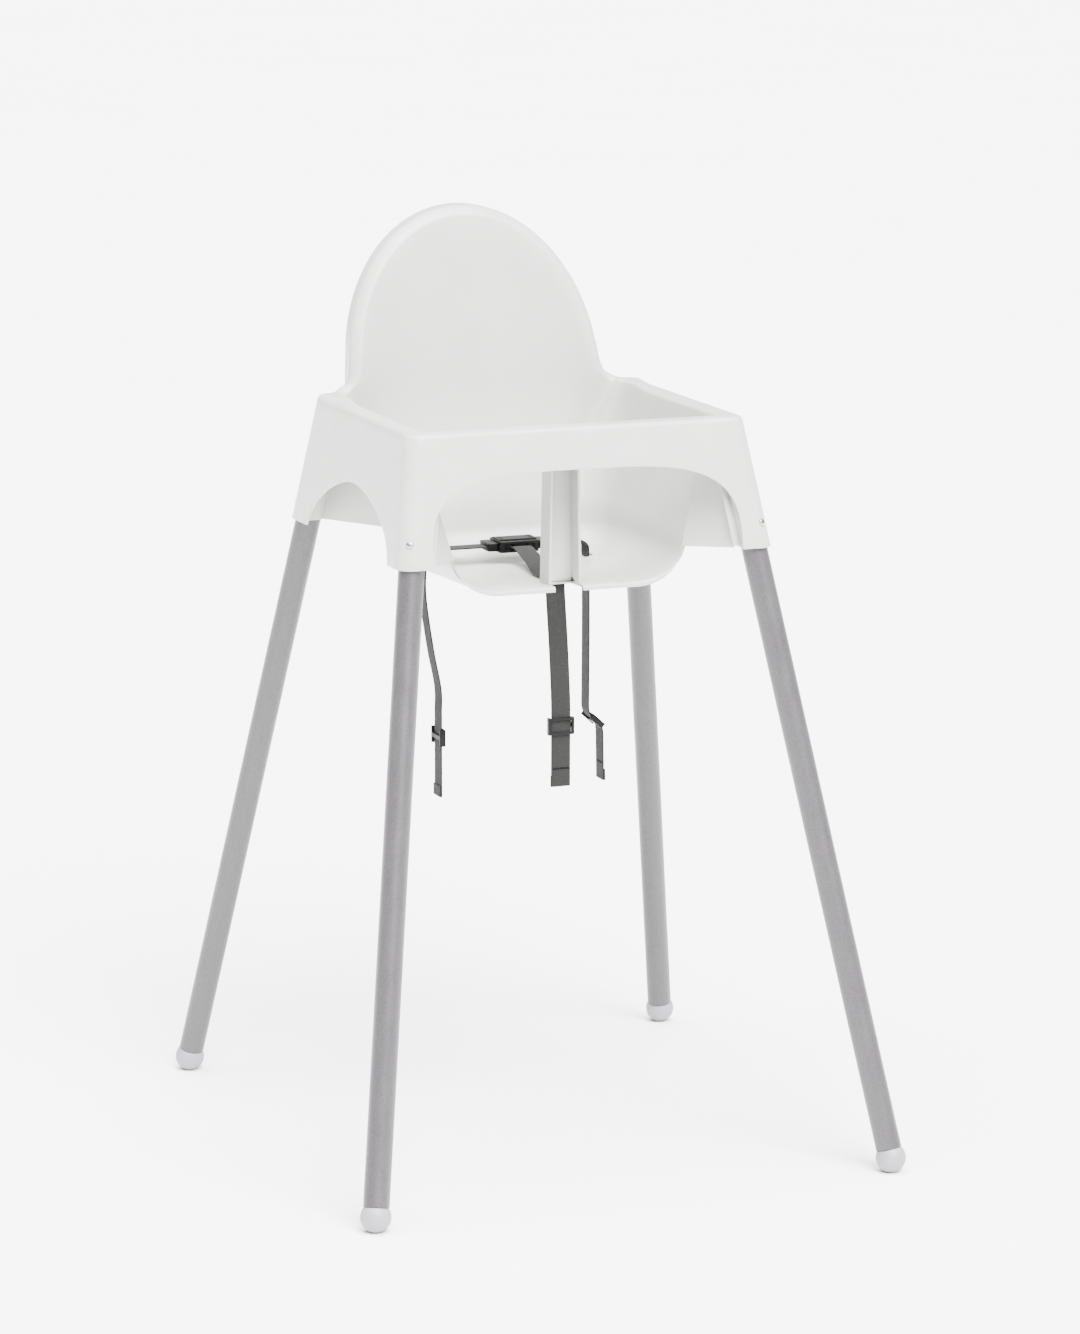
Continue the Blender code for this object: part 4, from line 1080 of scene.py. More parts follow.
    def bucket_row(self, half: float, rear: float, radius: float, height: float) -> list[Vector]:
        """A row of the bucket below the sockets, from its front middle to its rear middle.

        Args:
            half: half its width.
            rear: the y of its rear.
            radius: of its rear corners.
            height: its height at the front, before the pan's slope.

        Returns:
            The row's points.
        """
        front = self.tub_front_y
        row = [Vector((half * column / self.side_start, front, height))
               for column in range(self.side_start + 1)]
        row += [Vector((half, mix(front, rear - radius, share), height))
                for share in self.side_shares[1:]]
        for step in range(1, self.rear_steps + 1):
            angle = math.pi / 2 * step / self.rear_steps
            row.append(Vector((half - radius + radius * math.cos(angle),
                               rear - radius + radius * math.sin(angle), height)))
        steps = self.last - self.back_start
        row += [Vector(((half - radius) * (1 - step / steps), rear, height))
                for step in range(1, steps + 1)]
        return row

    def slope_down(self, row: list[Vector]) -> list[Vector]:
        """Tilt a pan row down towards the rear."""
        for point in row:
            point.z -= self.pan_slope * (point.y - self.tub_front_y)
        return row

    def bucket_rows(self) -> list[list[Vector]]:
        """Rows from the edge of the flat pan up the rounded cove, to just under the sockets."""
        run = self.tub_half - self.pan_half
        rise = self.legs.mouth_height + self.cove_joint - self.pan_height
        rows = []
        self.cove_shares = []
        for degrees in self.cove_degrees:
            angle = math.radians(degrees)
            out = run * math.sin(angle)
            radius = mix(self.cove_front_radius, self.tub_rear_radius, math.sin(angle))
            row = self.slope_down(self.bucket_row(
                self.pan_half + out, self.tub_rear_y - run + out, radius, self.pan_height))
            for point in row:
                point.z += rise * (1 - math.cos(angle))
            rows.append(row)
            self.cove_shares.append(math.cos(angle))
        return rows

    def wall_rows(self, top: list[Vector]) -> list[list[Vector]]:
        """Rows of the bucket's wall and the backrest's face, from the sockets to the rim.

        Args:
            top: the first row of the rim.

        Returns:
            The rows, with one at the bottom of the front rail.
        """
        legs = self.legs
        low = legs.mouth_height + self.cove_joint
        high = legs.rim_height - self.inner_round
        rail = (legs.rim_height - self.rail_depth - self.rail_overlap - low) / (high - low)
        below_rail, behind_rail = 9, 5
        levels = [rail * step / below_rail for step in range(below_rail)]
        self.rail_row = len(levels)
        levels += [mix(rail, 1.0, step / behind_rail) for step in range(behind_rail)]
        base = self.bucket_row(self.tub_half, self.tub_rear_y, self.tub_rear_radius, low)
        rows = []
        for level in levels:
            row = self.inner_row(mix(low, high, level))
            for column in range(self.rear_start + 1, self.last + 1):
                point = base[column].lerp(top[column], level)
                share = smooth((column - self.rear_start) / (self.rear_steps + 4))
                point.y += self.back_hollow * math.sin(math.pi * level) * share
                row.append(point)
            rows.append(row)
        return rows

    def lift(self, column: int) -> float:
        """How far the rim stands up at a column: it swells a little round the rear corners."""
        before = smooth((column - self.rear_start + 3) / 6)
        after = 1 - smooth((column - self.back_start) / (2.5 * self.flare_steps))
        return self.corner_lift * before * after

    def rim_rows(self) -> list[list[Vector]]:
        """Rows over the rim; behind the rear corners they roll round the backrest's edge."""
        legs = self.legs
        rows = []
        inner_steps = 5
        flat_steps = 4
        outer_steps = 6
        total = inner_steps + flat_steps + outer_steps
        for step in range(total + 1):
            turn = math.pi / 2 * step / total
            inward = self.back_roll * (1 - math.sin(turn))
            setback = self.roll_depth * math.cos(turn)
            inner_turn = math.pi / 2 * min(1.0, step / inner_steps)
            outer_turn = math.pi / 2 * max(0.0, (step - inner_steps - flat_steps) / outer_steps)
            inner = self.inner_rim_row(inner_turn, inward, setback)
            drop = self.outer_round * (1 - math.cos(outer_turn))
            inset = self.outer_round * (1 - math.sin(outer_turn))
            outer = [self.outer_point(column, legs.rim_height - drop, inset)
                     for column in range(self.back_start + 1)]
            outer += self.back_row(outer, inward, setback)
            share = min(1.0, max(0.0, (step - inner_steps) / flat_steps))
            row = [a.lerp(b, share) for a, b in zip(inner, outer)]
            for column, point in enumerate(row):
                point.z += self.lift(column)
            rows.append(row)
        return rows

    def inner_rim_row(self, turn: float, inward: float, setback: float) -> list[Vector]:
        """One row of the rim's inner rounding.

        Args:
            turn: how far round the rounding, as an angle.
            inward: how far the backrest's edge is drawn in.
            setback: how far it is moved forward.

        Returns:
            The row's points.
        """
        height = self.legs.rim_height - self.inner_round * (1 - math.sin(turn))
        row = self.inner_row(height, self.inner_round * (1 - math.cos(turn)))
        low = row[-1]
        high = self.back_keys(inward, setback)[0] + Vector(self.flare_inner)
        high.z = max(high.z, height)
        knee = Vector((low.x, high.y, mix(low.z, high.z, 0.2)))
        for step in range(1, self.rear_steps + 1):
            t = step / self.rear_steps
            row.append(low * (1 - t) ** 2 + knee * (2 * t * (1 - t)) + high * t ** 2)
        return row + self.back_row(row, inward, setback)

    def skirt_rows(self, top: list[Vector]) -> list[list[Vector]]:
        """Rows down the outside, to the arches and the socket mouths.

        Args:
            top: the last row of the rim.

        Returns:
            The rows.
        """
        legs = self.legs
        high = legs.rim_height - self.outer_round
        fade = 2.2 * self.flare_steps
        rows = []
        steps = 12
        for step in range(1, steps + 1):
            level = step / steps
            row = []
            for column in range(self.back_start + 1):
                point = self.outer_point(column, mix(high, self.bottoms[column], level),
                                         lean=level ** 4)
                point.z += self.lift(column) * (1 - level)
                row.append(point)
            for column in range(self.back_start + 1, self.last + 1):
                start = top[column]
                order = column - self.back_start
                share = 1.0 - smooth((order - self.flare_steps) / fade)
                drop = (high - legs.mouth_height) * share
                back = mix(self.back_edge_depth, self.flare_edge_depth, share)
                end = start + Vector((self.flare_splay * share, back, -drop))
                row.append(start.lerp(end, level))
            rows.append(row)
        return rows

    def sheet(self) -> bmesh.types.BMesh:
        """The moulding's visible side as one open sheet.

        Returns:
            The sheet, before it gets its wall.
        """
        rim = self.rim_rows()
        cove = self.bucket_rows()
        walls = self.wall_rows(rim[0])
        rows = cove + walls + rim + self.skirt_rows(rim[-1])
        self.hem(cove[-1], walls[0])
        loops = []
        for row in rows:
            mirrored = [Vector((-point.x, point.y, point.z)) for point in row[-2:0:-1]]
            loops.append(row + mirrored)
        bm, grid = loft(loops, caps=False)
        bmesh.ops.contextual_create(bm, geom=grid[0])
        self.open_legs(bm, grid, len(cove))
        bmesh.ops.recalc_face_normals(bm, faces=bm.faces)
        pan = max(bm.faces, key=lambda item: item.calc_area())
        if pan.normal.z < 0:
            bmesh.ops.reverse_faces(bm, faces=bm.faces)
        return bm

    def hem(self, cove_top: list[Vector], wall: list[Vector]) -> None:
        """Let the cove's top row carry on under the webs to the front sockets.

        Args:
            cove_top: the last row of the cove, changed in place.
            wall: the first row of the wall.
        """
        end = cove_top[self.side_start]
        for column in range(self.web_start, self.side_start):
            share = (column - self.web_start) / (self.side_start - self.web_start)
            point = wall[column].copy()
            point.z = mix(wall[self.web_start].z - self.cove_hem_drop, end.z, share)
            cove_top[column] = point

    def open_legs(self, bm: bmesh.types.BMesh, grid: list[list], cove: int) -> None:
        """Take away the front below the rail, and roll the pan's front edge.

        Args:
            bm: the sheet.
            grid: its vertices, row by row.
            cove: how many rows the cove has.
        """
        count = len(grid[0])

        def span(row: int, reach: int) -> list:
            """Vertices of a row whose columns are nearer the middle than reach."""
            return [grid[row][column % count] for column in range(1 - reach, reach)]

        edge = [grid[row][-self.side_start] for row in range(cove - 1, 0, -1)]
        edge += [grid[0][column % count] for column in range(-self.side_start, self.side_start + 1)]
        edge += [grid[row][self.side_start] for row in range(1, cove)]
        gone = []
        for row in range(1, cove - 1):
            gone += span(row, self.side_start)
        gone += span(cove - 1, self.web_start)
        for row in range(cove, cove + self.rail_row):
            gone += span(row, self.front)
        bmesh.ops.delete(bm, geom=gone, context="VERTS")
        shares = self.cove_shares[cove - 1:0:-1]
        shares = shares + [1.0] * (2 * self.side_start + 1) + shares[::-1]
        self.roll_edge(bm, edge, shares)

    def roll_edge(self, bm: bmesh.types.BMesh, edge: list, shares: list[float]) -> None:
        """Roll an edge forward and down.

        Args:
            bm: the sheet.
            edge: the edge's vertices in order.
            shares: how much of the roll each gets.
        """
        starts = [vert.co.copy() for vert in edge]
        steps = 5
        last = edge
        for step in range(1, steps + 1):
            turn = math.pi / 2 * step / steps
            last = grow(bm, last, closed=False)
            for vert, start, share in zip(last, starts, shares):
                reach = self.lip_reach * math.sin(turn) * share ** 0.5
                drop = self.lip_drop * (1 - math.cos(turn)) * share
                vert.co = start + Vector((0, -reach, -drop))

    def web(self, side: Side) -> bmesh.types.BMesh:
        """A thin wall that ties the bucket to a rear socket."""
        rows = []
        for height in (self.legs.mouth_height, self.legs.mouth_height + self.web_height):
            start = self.inner_row(height)[self.rear_start]
            start = start + Vector((self.wall / 2, self.web_tub_setback, 0))
            end = self.legs.point(Side.RIGHT, Row.REAR, height) + Vector(self.web_socket_end)
            across = (end - start).cross(UP).normalized() * (self.web_wall / 2)
            ring = [start - across, start + across, end + across, end - across]
            rows.append([Vector((side.value * point.x, point.y, point.z)) for point in ring])
        return loft(rows)[0]

    def post_half(self, height: float) -> float:
        """Half the post's width at a height; it narrows towards its top."""
        top = self.legs.rim_height - self.post_top_drop
        share = (height - self.pan_height) / (top - self.pan_height)
        return mix(self.post_width, self.post_top_width, share) / 2

    def post_plate(self, inset: float, front: float, back: float, low: float,
                   high: float) -> bmesh.types.BMesh:
        """A plate across the post, less an inset each side, tapering as the post does."""
        bm = rounded_box((-1, front, low), (1, back, high), 0.0)
        for vert in bm.verts:
            vert.co.x *= self.post_half(vert.co.z) - inset
        return bm

    def post_flange(self, side: Side, front: float, low: float, high: float) -> bmesh.types.BMesh:
        """A flange of the post with a rounded front edge."""
        bm = rounded_box((0, front, low), (self.post_wall, self.post_back_y, high), 0.0)
        edges = [edge for edge in bm.edges if edge.calc_length() > (high - low) * 0.9
                 and edge.verts[0].co.y < front + 1e-5 and edge.verts[1].co.y < front + 1e-5]
        bmesh.ops.bevel(bm, geom=edges, offset=self.post_wall * self.post_edge_share,
                        offset_type="OFFSET", affect="EDGES", segments=4, profile=0.5,
                        material=-1)
        for vert in bm.verts:
            vert.co.x = side.value * (self.post_half(vert.co.z) - vert.co.x)
        return bm

    def post(self) -> list[bmesh.types.BMesh]:
        """The channel between the leg openings, open to the front, as solids to be joined.

        Returns:
            Its back, roof and flanges; the flanges reach forward under the rail.
        """
        legs = self.legs
        top = legs.rim_height - self.post_top_drop
        bottom = self.pan_height - self.wall / 2
        rim_front = legs.point(Side.RIGHT, Row.FRONT, legs.rim_height).y
        rail = rim_front - legs.corner_radius + self.rim_width
        start = rail - self.wall / 2
        # the plates stop a little inside the flanges, so that no two faces lie in one plane
        back = self.post_plate(0.0006, self.post_back_y - self.post_wall, self.post_back_y - 0.0002,
                               bottom + 0.0004, top - 0.0006)
        roof = self.post_plate(0.0003, start, self.post_back_y - 0.0004, top - self.post_wall,
                               top - 0.0003)
        solids = [back, roof]
        for side in Side:
            solids.append(self.post_flange(side, self.post_front_y, bottom, top - 0.0008))
            solids.append(self.post_flange(side, start, top - self.post_head, top))
        return solids

    def socket(self, side: Side, row: Row) -> bmesh.types.BMesh:
        """The solid of a socket, cut level at its mouth."""
        legs = self.legs
        top = legs.top(side, row) + self.wall
        bm = lathe([(0, legs.mouth(side, row) - self.socket_radius),
                    (self.socket_radius, legs.mouth(side, row) - self.socket_radius),
                    (self.socket_radius, top), (0, top)], 72)
        bmesh.ops.transform(bm, matrix=legs.frame(side, row), verts=bm.verts)
        cut = bmesh.ops.bisect_plane(
            bm, geom=[*bm.verts, *bm.edges, *bm.faces],
            plane_co=(0, 0, legs.mouth_height - self.mouth_drop), plane_no=(0, 0, -1),
            clear_outer=True)["geom_cut"]
        rim = [item for item in cut if isinstance(item, bmesh.types.BMEdge)]
        bmesh.ops.holes_fill(bm, edges=rim, sides=0)
        return bm

    def drill(self, place: Matrix, radius: float, low: float, high: float,
              sides: int) -> bmesh.types.BMesh:
        """A round cutter along a frame's Z."""
        bm = lathe([(0, low), (radius, low), (radius, high), (0, high)], sides)
        bmesh.ops.transform(bm, matrix=place, verts=bm.verts)
        return bm

    def slot(self, low: tuple, high: tuple) -> bmesh.types.BMesh:
        """A slot cutter with rounded ends."""
        bm = rounded_box(low, high, 0.0)
        upright = [edge for edge in bm.edges
                   if abs(edge.verts[0].co.z - edge.verts[1].co.z) > abs(high[2] - low[2]) / 2]
        bmesh.ops.bevel(bm, geom=upright, offset=self.slot_corner, offset_type="OFFSET",
                        affect="EDGES", segments=4, profile=0.5, material=-1)
        return bm

    def cuts(self) -> list[tuple[bmesh.types.BMesh, str]]:
        """Everything that is joined to the sheet or cut from it, in order."""
        legs = self.legs
        steps = [(bm, "UNION") for bm in self.post()]
        cuts = [self.post_plate(self.post_wall, self.tub_front_y - 0.02,
                                self.post_back_y - self.post_wall, self.pan_height - 0.02,
                                self.pan_height + 0.003)]
        half = self.slot_length / 2
        for side in Side:
            middle = side.value * self.lap_slot_x
            cuts.append(self.slot(
                (middle - self.lap_slot_width / 2, self.harness_y - half, self.pan_height - 0.03),
                (middle + self.lap_slot_width / 2, self.harness_y + half, self.pan_height + 0.02)))
        cuts.append(self.slot(
            (-half, self.crotch_slot_y - self.crotch_slot_width / 2, self.pan_height - 0.03),
            (half, self.crotch_slot_y + self.crotch_slot_width / 2, self.pan_height + 0.004)))
        for side in Side:
            steps.append((self.web(side), "UNION"))
            for row in Row:
                steps.append((self.socket(side, row), "UNION"))
                mouth = legs.mouth(side, row)
                top = legs.top(side, row)
                cuts.append(self.drill(legs.frame(side, row), legs.tube_radius + legs.gap,
                                       mouth - legs.drill_reach, top + legs.gap, 72))
                cuts.append(self.drill(legs.button_frame(side, row),
                                       legs.button_radius + legs.gap, 0.0,
                                       legs.drill_reach, 40))
        return steps + [(bm, "DIFFERENCE") for bm in cuts]

    def build(self) -> None:
        """Make and dress the shell."""
        body = plain_object("shell", self.sheet())
        wall = body.modifiers.new("wall", "SOLIDIFY")
        wall.thickness = self.wall
        wall.offset = -1.0
        wall.use_even_offset = True
        edge = body.modifiers.new("edge", "BEVEL")
        edge.width = self.edge_round
        edge.segments = 2
        edge.limit_method = "ANGLE"
        edge.angle_limit = math.radians(self.edge_round_degrees)
        edge.use_clamp_overlap = True
        mesh = carve(body, self.cuts())
        dress("moulded_shell", mesh, SHELL, "root", ["seat_shell"])


# ---------------------------------------------------------------------------------------------
# harness
# ---------------------------------------------------------------------------------------------
@dataclass
class Harness:
    """Two lap straps and a crotch strap of one webbing, their sliders and the clip buckle."""

    shell: SeatShell
    width: float = 0.020
    thickness: float = 0.0016
    belt_lift: float = 0.0120
    lap_bend: float = 0.008
    buckle_x: float = 0.010
    buckle_length: float = 0.042
    buckle_depth: float = 0.033
    buckle_height: float = 0.011
    plug_length: float = 0.011
    hem_length: float = 0.0112
    seam_rise: float = 0.0185
    hem_thickness: float = 0.0013
    gap: float = 0.0003
    slider_round: float = 0.0005
    buckle_round: float = 0.0006
    prong_round: float = 0.0004
    right_cut_height: float = 0.545
    row_pitch: float = 0.0011
    bar_half: float = 0.001
    bar_inset: float = 0.004
    cover_inset: float = 0.0012
    cover_lift: float = 0.0001
    selvedge_power: float = 0.55
    face_power: float = 0.35
    weave_scale: float = 100.0
    # the middle lines of the tails, as distance across or forward and height
    left_tail: tuple = ((0.0868, 0.530), (0.0790, 0.475), (0.0712, 0.435), (0.0708, 0.410),
                        (0.0708, 0.385), (0.0708, 0.3245))
    right_tail: tuple = ((0.0868, 0.514), (0.0868, 0.455), (0.0866, 0.4185), (0.0868, 0.4020),
                         (0.0900, 0.3950), (0.0950, 0.3900), (0.1000, 0.3850), (0.1020, 0.3780),
                         (0.1024, 0.3640), (0.1030, 0.328))
    crotch_tail: tuple = ((-0.0735, 0.540), (-0.0795, 0.505), (-0.0842, 0.470), (-0.0870, 0.440),
                          (-0.0870, 0.400), (-0.0870, 0.3605))

    def pan_top(self, y: float) -> float:
        """The pan's height at a place along Y."""
        return self.shell.pan_height - self.shell.pan_slope * (y - self.shell.tub_front_y)

    def belt_height(self) -> float:
        """The height of the belt's and the buckle's middle."""
        return self.pan_top(self.shell.harness_y) + self.belt_lift + self.buckle_height / 2

    def plug_end(self, side: Side) -> float:
        """The x of a plug's outer end."""
        return self.buckle_x + side.value * (self.buckle_length / 2 + self.gap + self.plug_length)

    def turn_down(self, level: float, edge_out: float, middle: float) -> list[tuple[float, float]]:
        """A quarter bend from flat to hanging, as (across, up) values."""
        radius = middle - edge_out
        bend = []
        for step in range(9):
            angle = math.pi / 2 * step / 8
            drop = radius * (1 - math.cos(angle))
            bend.append((edge_out + radius * math.sin(angle), level - drop))
        return bend

    def lap_path(self, side: Side) -> list[Vector]:
        """A lap strap's middle line, from its plug to the end of its tail."""
        level = self.belt_height()
        start = side.value * self.plug_end(side) + self.gap
        slot = self.shell.lap_slot_x
        bent = self.turn_down(level, slot - self.lap_bend, slot)
        tail = self.left_tail if side is Side.LEFT else self.right_tail
        hanging = curve_through([(x, 0, z) for x, z in (bent[-1], *tail)], 10)
        flat = [(mix(start, bent[0][0], step / 14), level) for step in range(14)]
        points = [(x, z) for x, z in flat + bent] + [(p.x, p.z) for p in hanging[1:]]
        return [Vector((side.value * x, self.shell.harness_y, z)) for x, z in points]

    def crotch_path(self) -> list[Vector]:
        """The crotch strap's middle line, from the buckle to the end of its tail."""
        start = self.shell.harness_y - self.buckle_depth / 2 - 2 * self.gap
        level = self.belt_height()
        edge = self.shell.crotch_slot_y + 0.003
        low = self.pan_top(edge) + self.thickness / 2 + 0.0008
        flat = [Vector((self.buckle_x, start, level)),
                Vector((self.buckle_x, start - 0.010, level)),
                Vector((self.buckle_x * 0.6, 0.0, mix(low, level, 0.45))),
                Vector((0.0, edge + 0.03, low + 0.0004))]
        turned = self.turn_down(low, -edge, -self.shell.crotch_slot_y)
        bent = [Vector((0, -y, z)) for y, z in turned]
        tail = curve_through([bent[-1], *[Vector((0, y, z)) for y, z in self.crotch_tail]], 10)
        return curve_through([*flat, bent[0]], 8)[:-1] + bent + tail[1:]

    def ribbon(self, path: list[Vector], across: Vector, width: float,
               thickness: float, offset: float = 0.0) -> bmesh.types.BMesh:
        """Webbing along a path, with rounded selvedges and a weave map.

        Args:
            path: its middle line.
            across: the direction of its width.
            width: its width.
            thickness: its thickness.
            offset: how far it lies off the path, along its face.

        Returns:
            The webbing's mesh.
        """
        segments = 28
        rows = []
        lengths = [0.0]
        for here, after in zip(path, path[1:]):
            lengths.append(lengths[-1] + (after - here).length)
        for number, point in enumerate(path):
            ahead = path[min(number + 1, len(path) - 1)] - path[max(number - 1, 0)]
            wide = (across - ahead * across.dot(ahead) / ahead.length_squared).normalized()
            face = ahead.cross(wide).normalized()
            row = []
            for step in range(segments):
                angle = 2 * math.pi * (step + 0.5) / segments
                a = signed_power(math.cos(angle), self.selvedge_power) * width / 2
                b = signed_power(math.sin(angle), self.face_power) * thickness / 2
                row.append(point + wide * a + face * (b + offset))
            rows.append(row)
        bm, grid = loft(rows)
        bm.verts.index_update()
        layer = bm.loops.layers.uv.new("weave")
        place = {}
        for length, ring in zip(lengths, grid):
            for step, vert in enumerate(ring):
                angle = 2 * math.pi * (step + 0.5) / segments
                a = signed_power(math.cos(angle), self.selvedge_power) * width / 2
                place[vert] = (length * self.weave_scale, a * self.weave_scale)
        for item in bm.faces:
            for loop in item.loops:
                loop[layer].uv = place[loop.vert]
        return bm

    def stitches(self, middle: Vector, across: Vector, along: Vector, face: Vector,
                 rows: Iterable[float]) -> bmesh.types.BMesh:
        """Rows of thread stitches across a strap.

        Args:
            middle: the middle of the hem's edge, on the surface.
            across: the strap's width direction.
            along: the strap's length direction.
            face: out of the surface.
            rows: how far along each row lies.

        Returns:
            The stitches' mesh.
        """
        bm = bmesh.new()
        count = 7
        pitch = (self.width - 0.003) / count
        for shift in rows:
            for number in range(count):
                centre = middle + along * shift + across * (pitch * (number - (count - 1) / 2))
                place = Matrix((across, along, face)).transposed().to_4x4()
                place.translation = centre
                size = Matrix.Diagonal((pitch * 0.47, 0.0006, 0.0002, 1.0))
                bmesh.ops.create_uvsphere(bm, u_segments=8, v_segments=6, radius=1.0,
                                          matrix=place @ size)
        return bm

    def make_end(self, name: str, path: list[Vector], across: Vector) -> list:
        """A strap end's folded hem, behind, and the row of stitches that shows in front.

        Args:
            name: what the pieces are called.
            path: the strap's middle line.
            across: the direction of its width.

        Returns:
            The hem and the stitches, not yet tied to a body.
        """
        end = path[-1]
        along = (end - path[-6]).normalized()
        face = along.cross(across).normalized()
        steps = 8
        start = end - along * self.hem_length
        fold = [start.lerp(end, step / steps) for step in range(steps + 1)]
        hem = self.loose_piece(f"{name}_hem", self.ribbon(
            fold, across, self.width, self.hem_thickness,
            -(self.thickness + self.hem_thickness) / 2), WEBBING)
        surface = end - along * self.seam_rise + face * (self.thickness / 2)
        seam = self.loose_piece(f"{name}_stitches", self.stitches(
            surface, across, along, face, (0.0, self.row_pitch)), THREAD)
        return [hem, seam]

    def loose_piece(self, name: str, bm: bmesh.types.BMesh, finish: Finish,
                    nodes: Iterable[str] = ()) -> bpy.types.Object:
        """A finished piece with no body yet."""
        bmesh.ops.recalc_face_normals(bm, faces=bm.faces)
        mesh = bpy.data.meshes.new(name)
        bm.to_mesh(mesh)
        bm.free()
        return dress(name, mesh, finish, None, nodes)

    def build_straps(self) -> None:
        """Make the three straps; the crotch strap and the left lap strap's hem and stitches are
        tied to the root body.
        """
        level = self.belt_height()
        for side in Side:
            tag = side.name.lower()
            path = self.lap_path(side)
            across = Vector((0, -side.value, 0))
            cut = next(number for number, point in enumerate(path)
                       if point.z < self.right_cut_height)
            belt_path = path[:cut + 1] if side is Side.RIGHT else path
            belt = self.loose_piece(f"lap_{tag}_webbing", self.ribbon(
                belt_path, across, self.width, self.thickness), WEBBING, [f"lap_strap_{tag}"])
            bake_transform(belt)
            ends = self.make_end(f"lap_{tag}", path, across)
            if side is Side.RIGHT:
                ends.append(self.loose_piece("lap_right_tail", self.ribbon(
                    path[cut:], across, self.width, self.thickness), WEBBING))
                for piece in ends:
                    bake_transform(piece)
            else:
                for piece in ends:
                    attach(piece, "root")
        path = self.crotch_path()
        across = Vector((1, 0, 0))
        strap = self.loose_piece("crotch_webbing", self.ribbon(
            path, across, self.width, self.thickness), WEBBING, ["crotch_strap"])
        for piece in (strap, *self.make_end("crotch", path, across)):
            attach(piece, "root")

    def build_sliders(self) -> None:
        """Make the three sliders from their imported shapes, with rounded corners."""
        for tag in ("left", "right", "crotch"):
            node = f"slider_{tag}"
            make_piece(f"three_bar_{node}", rounded_copy(node, self.slider_round, 3), ACETAL,
                       node, [node])

    def build_buckle(self) -> None:
        """Make the buckle, its plugs and its prongs."""
        make_piece("buckle_housing", rounded_copy("buckle_centre", self.buckle_round, 3),
                   ACETAL, "root", ["buckle_centre"])
        for side in Side:
            tag = side.name.lower()
            make_piece(f"clip_plug_{tag}",
                       rounded_copy(f"buckle_plug_{tag}", self.buckle_round, 3), ACETAL,
                       f"plug_{tag}", [f"buckle_plug_{tag}"])
            for row in Row:
                prong = f"prong_{tag}_{row.name.lower()}"
                make_piece(f"sprung_{prong}", rounded_copy(prong, self.prong_round, 2),
                           ACETAL, prong, [prong])

    def build_covers(self) -> None:
        """Lay webbing over the buckle's housing, stitched at its ends."""
        top = self.belt_height() + self.buckle_height / 2 + self.thickness / 2
        top += self.cover_lift
        y = self.shell.harness_y
        half = self.buckle_length / 2 - self.cover_inset
        path = [Vector((self.buckle_x + mix(-half, half, step / 12), y, top)) for step in range(13)]
        cover = self.loose_piece("buckle_cover", self.ribbon(
            path, Vector((0, 1, 0)), self.width, self.thickness), WEBBING)
        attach(cover, "root")
        seams = bmesh.new()
        for x in (path[0].x + self.bar_inset, path[-1].x - self.bar_inset):
            bar = self.stitches(Vector((x, y, top + self.thickness / 2)), Vector((0, 1, 0)),
                                Vector((1, 0, 0)), UP, (-self.bar_half, self.bar_half))
            mesh = bpy.data.meshes.new("seam")
            bar.to_mesh(mesh)
            bar.free()
            seams.from_mesh(mesh)
            bpy.data.meshes.remove(mesh)
        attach(self.loose_piece("buckle_cover_stitches", seams, THREAD), "root")

    def build(self) -> None:
        """Make and dress the whole harness."""
        self.build_straps()
        self.build_covers()
        self.build_sliders()
        self.build_buckle()


# ---------------------------------------------------------------------------------------------
# studio
# ---------------------------------------------------------------------------------------------
@dataclass(frozen=True)
class Lamp:
    """A broad, even, far-off softbox."""

    name: str
    azimuth: float
    elevation: float
    spread: float
    strength: float


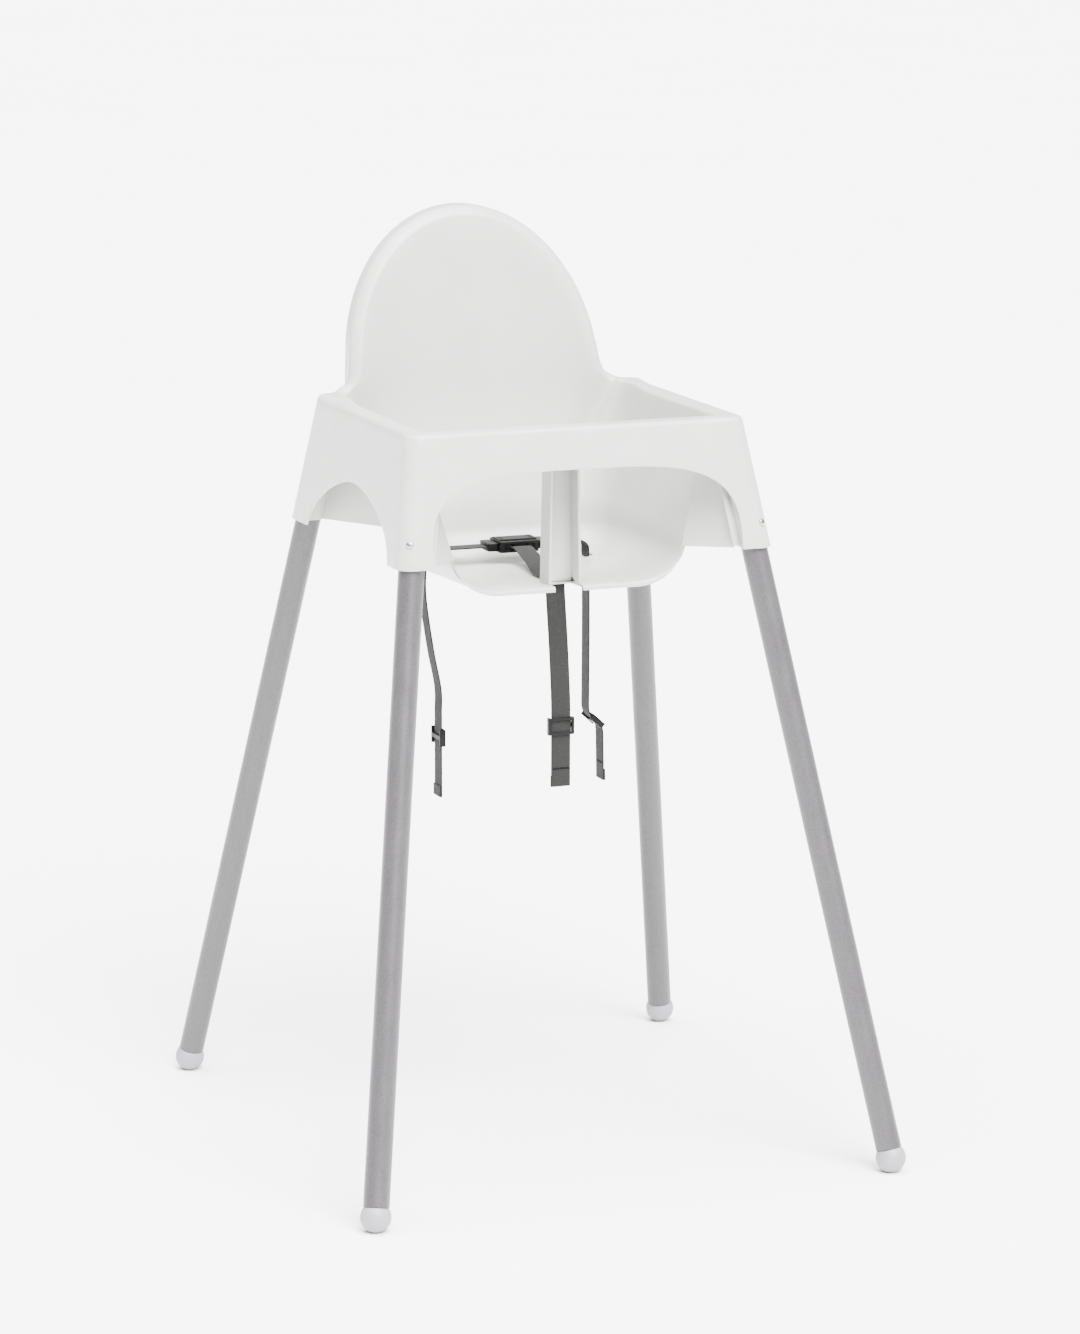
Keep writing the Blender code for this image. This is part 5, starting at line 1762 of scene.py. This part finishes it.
@dataclass(frozen=True)
class Studio:
    """Camera, lights and floor."""

    azimuth: float = -21.19
    elevation: float = 11.43
    roll: float = 0.09
    target: Vector = Vector((0.0121, 0.0, 0.4617))
    distance: float = 4.8645
    lens: float = 133.0
    ambient: float = 0.8
    sensor: float = 36.0
    floor_radius: float = 60.0
    lamps: tuple = (
        Lamp("key", 6.0, 50.0, 40.0, 16.0),
        Lamp("top", -60.0, 84.0, 60.0, 14.0),
    )

    def towards(self, azimuth: float, elevation: float) -> Vector:
        """The direction from the chair at an azimuth from the front and an elevation."""
        az, el = math.radians(azimuth), math.radians(elevation)
        return Vector((math.sin(az) * math.cos(el), -math.cos(az) * math.cos(el), math.sin(el)))

    def place_camera(self) -> None:
        """Aim the camera from the front left, a little above the rim."""
        back = self.towards(self.azimuth, self.elevation)
        data = bpy.data.cameras.new("camera")
        data.lens = self.lens
        data.sensor_width = self.sensor
        data.sensor_fit = "AUTO"
        camera = bpy.data.objects.new("camera", data)
        turn = back.to_track_quat("Z", "Y").to_matrix().to_4x4()
        spin = Matrix.Rotation(math.radians(self.roll), 4, "Z")
        camera.matrix_world = Matrix.Translation(self.target + back * self.distance) @ turn @ spin
        bpy.context.scene.collection.objects.link(camera)
        bpy.context.scene.camera = camera

    def place_lights(self) -> None:
        """Light the chair softly from all round, a little more from the front left."""
        world = bpy.data.worlds.new("studio")
        bpy.context.scene.world = world
        world.use_nodes = True
        world.node_tree.nodes["Background"].inputs["Color"].default_value = (1, 1, 1, 1)
        world.node_tree.nodes["Background"].inputs["Strength"].default_value = self.ambient
        for lamp in self.lamps:
            data = bpy.data.lights.new(lamp.name, "SUN")
            data.energy = lamp.strength
            data.angle = math.radians(lamp.spread)
            light = bpy.data.objects.new(lamp.name, data)
            aim = self.towards(lamp.azimuth, lamp.elevation)
            light.matrix_world = aim.to_track_quat("Z", "Y").to_matrix().to_4x4()
            bpy.context.scene.collection.objects.link(light)

    def lay_floor(self) -> None:
        """A broad, plain, pale floor."""
        bm = bmesh.new()
        bmesh.ops.create_circle(bm, cap_ends=True, segments=96, radius=self.floor_radius)
        floor = plain_object("floor", bm)
        floor.data.materials.append(FLOOR.material())

    def build(self) -> None:
        """Set up the studio."""
        self.place_camera()
        self.place_lights()
        self.lay_floor()


def main() -> None:
    """Build the chair and the studio, in order."""
    logging.basicConfig(level=logging.INFO, format="%(name)s: %(message)s")
    Studio().build()
    shell = SeatShell()
    shell.build()
    Legs().build()
    Harness(shell).build()


if __name__ == "__main__":
    main()
